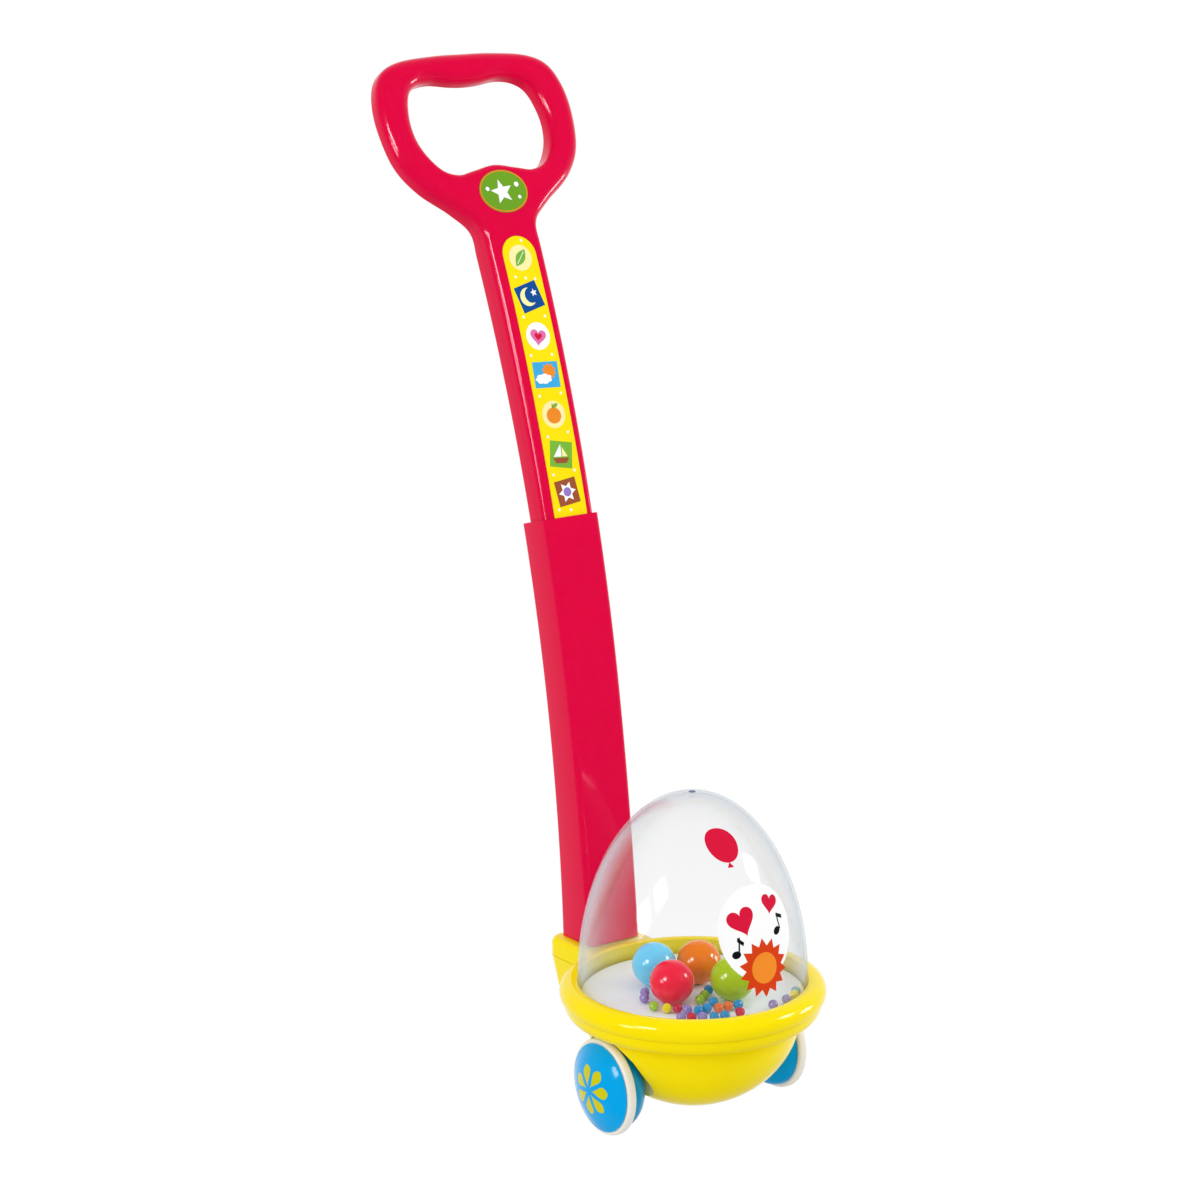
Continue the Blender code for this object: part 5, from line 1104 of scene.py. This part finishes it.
def dome_shapes():
    """A white oval with a setting sun, two hearts, a red balloon and black notes."""
    picture = [
        ("white", 0, ring_points(25.0, 60, 1.06), 1.0, 44.0),
        ("scarlet", 1, star(14, 16.5, 12.2), 2.0, 24.0),
        ("orange", 2, ring_points(8.6, 40), 2.0, 24.0),
        ("red", 1, heart(17.0), -9.0, 52.0, 14.0),
        ("red", 1, heart(12.0), 12.0, 58.0, -16.0),
        ("red", 0, ring_points(9.2, 40, 1.15), -7.0, 95.0),
        ("red", 0, [(-2.0, -1.8), (2.0, -1.8), (0.0, 1.4)], -7.0, 83.4),
    ]
    for x, y, turn in ((14.0, 42.0, 8.0), (-15.0, 34.0, -8.0)):
        picture.append(("black", 1, ring_points(2.7, 24, 0.78), x, y, turn + 20.0))
        picture.append(("black", 1, box_points(0.9, 9.0), x + 2.2, y + 4.8, turn))
        picture.append(("black", 1, [(0.0, 0.0), (4.2, -2.6), (3.8, -4.6), (0.0, -2.4)], x + 1.6, y + 9.4, turn))
    return laid_out({0.0: picture})


def build_prints():
    middle, front = Vector((0.0, AXIS_Y, 0.10)), Vector((0.0, -1.0, 0.0))
    for name, shapes, wrap, step, slot in (
        ("label_print", label_shapes(), on_handle, 0.005, "label_yellow"),
        ("badge_print", badge_shapes(), on_handle, 0.005, "badge_green"),
        ("dome_print", dome_shapes(), on_dome, 0.0025, "clear_plastic"),
    ):
        bm = print_mesh(shapes, wrap, step)
        face_towards(bm, (lambda centre: centre - middle) if wrap is on_dome else (lambda centre: front))
        piece(name, bm, INKS.values(), "base", [], 60.0)


# The unseen works keep their CAD shapes, but for the wound spring


def build_spring():
    """The striker's spring, a wound wire that closes up as the floor hops; here it is built in one fixed shape."""
    bm = bmesh.new()
    low, high, radius, wire, turns = 0.0443, 0.0542, 0.0059, 0.0005, 4.5
    count = int(turns * 24)
    up = Vector((0.0, 0.0, 1.0))
    loops = []
    for i in range(count + 1):
        angle = math.tau * turns * i / count
        share = min(max((i / count - 0.11) / 0.78, 0.0), 1.0)
        height = low + wire + (high - low - 2 * wire) * share
        out = Vector((math.cos(angle), math.sin(angle), 0.0))
        centre = out * radius + Vector((0.0, AXIS_Y, height))
        loops.append([bm.verts.new(centre + out * x + up * z) for x, z in ellipse(wire, wire, 8)])
    close_tube(bm, loops)
    coil = piece("spring_coil", bm, [STEEL], "base", ["striker_spring"])
    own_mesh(coil)


def dress_works():
    for name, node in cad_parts.items():
        if node.hide_render:
            continue
        skin = NYLON if name in ("striker", "striker_bridge", "striker_cam") else STEEL
        node.data.materials.clear()
        node.data.materials.append(skin)


# Studio


def grey(level):
    return (level, level, level, 1.0)


def build_studio():
    """A white surround, dimmer behind the camera and below, as the glossy pieces mirror it."""
    world = bpy.data.worlds.new("studio")
    bpy.context.scene.world = world
    world.use_nodes = True
    tree = world.node_tree
    tree.nodes.clear()
    where = add_node(tree, "ShaderNodeTexCoord").outputs["Generated"]
    towards = {0: where, 1: (-0.57, -0.78, 0.26)}
    towards = add_node(tree, "ShaderNodeVectorMath", towards, operation="DOT_PRODUCT").outputs["Value"]
    height = add_node(tree, "ShaderNodeSeparateXYZ", {"Vector": where}).outputs["Z"]
    nearer = calc(tree, "MULTIPLY_ADD", towards, 0.5, 0.5)
    lower = calc(tree, "MULTIPLY_ADD", height, -1.0, -0.35)
    mirrored_light = ramp(tree, calc(tree, "MAXIMUM", nearer, lower), grey(0.95), grey(0.05), 0.12, 0.62)
    mirrored_light.color_ramp.elements.new(0.34).color = grey(0.42)
    light = ramp(tree, height, (0.85, 0.85, 0.86, 1.0), grey(0.90), 0.0, 0.8)
    colours = (light.outputs["Color"], mirrored_light.outputs["Color"], grey(1.0))
    lit, seen, white = [
        add_node(tree, "ShaderNodeBackground", {"Color": colour, "Strength": 1.0}).outputs["Background"]
        for colour in colours
    ]
    path = add_node(tree, "ShaderNodeLightPath").outputs
    surface = mixed(tree, path["Is Camera Ray"], mixed(tree, path["Is Glossy Ray"], lit, seen), white)
    add_node(tree, "ShaderNodeOutputWorld", {"Surface": surface})


CAMERA_PLACE = Vector((-1.04381, -1.475898, 0.71602))
CAMERA_FORWARD = Vector((0.5573, 0.7977, -0.2305)).normalized()
CAMERA_RIGHT = Vector((0.8183, -0.5747, -0.0103)).normalized()
CAMERA_UP = CAMERA_RIGHT.cross(CAMERA_FORWARD).normalized()
MIDDLE = Vector((0.0, 0.0, 0.25))


def softbox(name, right, up, back, size, power, lights_surfaces):
    """A square light in a direction given along the camera's right, up and backwards."""
    distance = 1.9
    away = CAMERA_RIGHT * right + CAMERA_UP * up - CAMERA_FORWARD * back
    away.normalize()
    data = bpy.data.lights.new(name, "AREA")
    data.size = size
    data.energy = power
    made = bpy.data.objects.new(name, data)
    made.location = MIDDLE + away * distance
    aim = away.to_track_quat("Z", "Y").to_matrix().to_4x4()
    made.matrix_world = Matrix.Translation(made.location) @ aim @ Matrix.Rotation(math.radians(45.0), 4, "Z")
    made.visible_diffuse = lights_surfaces
    made.visible_glossy = not lights_surfaces
    bpy.context.scene.collection.objects.link(made)
    return made


def shade(light, names):
    """Keeps a light off pieces whose long flat faces would mirror all of it, as a studio's flag does."""
    shaded = bpy.data.collections.new(light.name + "_shaded")
    for name in names:
        shaded.objects.link(bpy.data.objects[name])
    light.light_linking.receiver_collection = shaded
    for item in shaded.collection_objects:
        item.light_linking.link_state = "EXCLUDE"


def build_camera():
    data = bpy.data.cameras.new("camera")
    data.lens = 100.0
    data.sensor_width = 36.0
    made = bpy.data.objects.new("camera", data)
    axes = Matrix((CAMERA_RIGHT, CAMERA_UP, -CAMERA_FORWARD)).transposed().to_4x4()
    made.matrix_world = Matrix.Translation(CAMERA_PLACE) @ axes
    bpy.context.scene.collection.objects.link(made)
    bpy.context.scene.camera = made


build_handle()
build_sleeve()
build_rim()
build_bowl()
build_dome()
build_floor()
for side in (-1, 1):
    build_wheel(side)
build_balls()
build_beads()
build_prints()
build_spring()
dress_works()
build_studio()
flat_pieces = ["sleeve", "label", "label_print", "badge", "badge_print", "dome_print"]
for name, right, up, back, power, shaded in (
    ("left", -0.60, 0.23, 0.77, 15.0, flat_pieces),
    ("right", 0.93, 0.36, 0.12, 15.0, flat_pieces + ["handle_front", "handle_rear"]),
    ("far_left", -0.80, 0.02, 0.58, 8.6, flat_pieces),
    ("far_right", 0.95, 0.08, -0.25, 10.0, flat_pieces + ["clear_dome"]),
):
    shade(softbox(f"glint_{name}", right, up, back, 0.45, power, False), shaded)
for name, right, up, back in (("left", -0.60, 0.23, 0.77), ("right", 0.93, 0.36, 0.12)):
    softbox(f"light_{name}", right, up, back, 0.75, 8.0, True)
build_camera()
bpy.context.scene.view_settings.view_transform = "Standard"
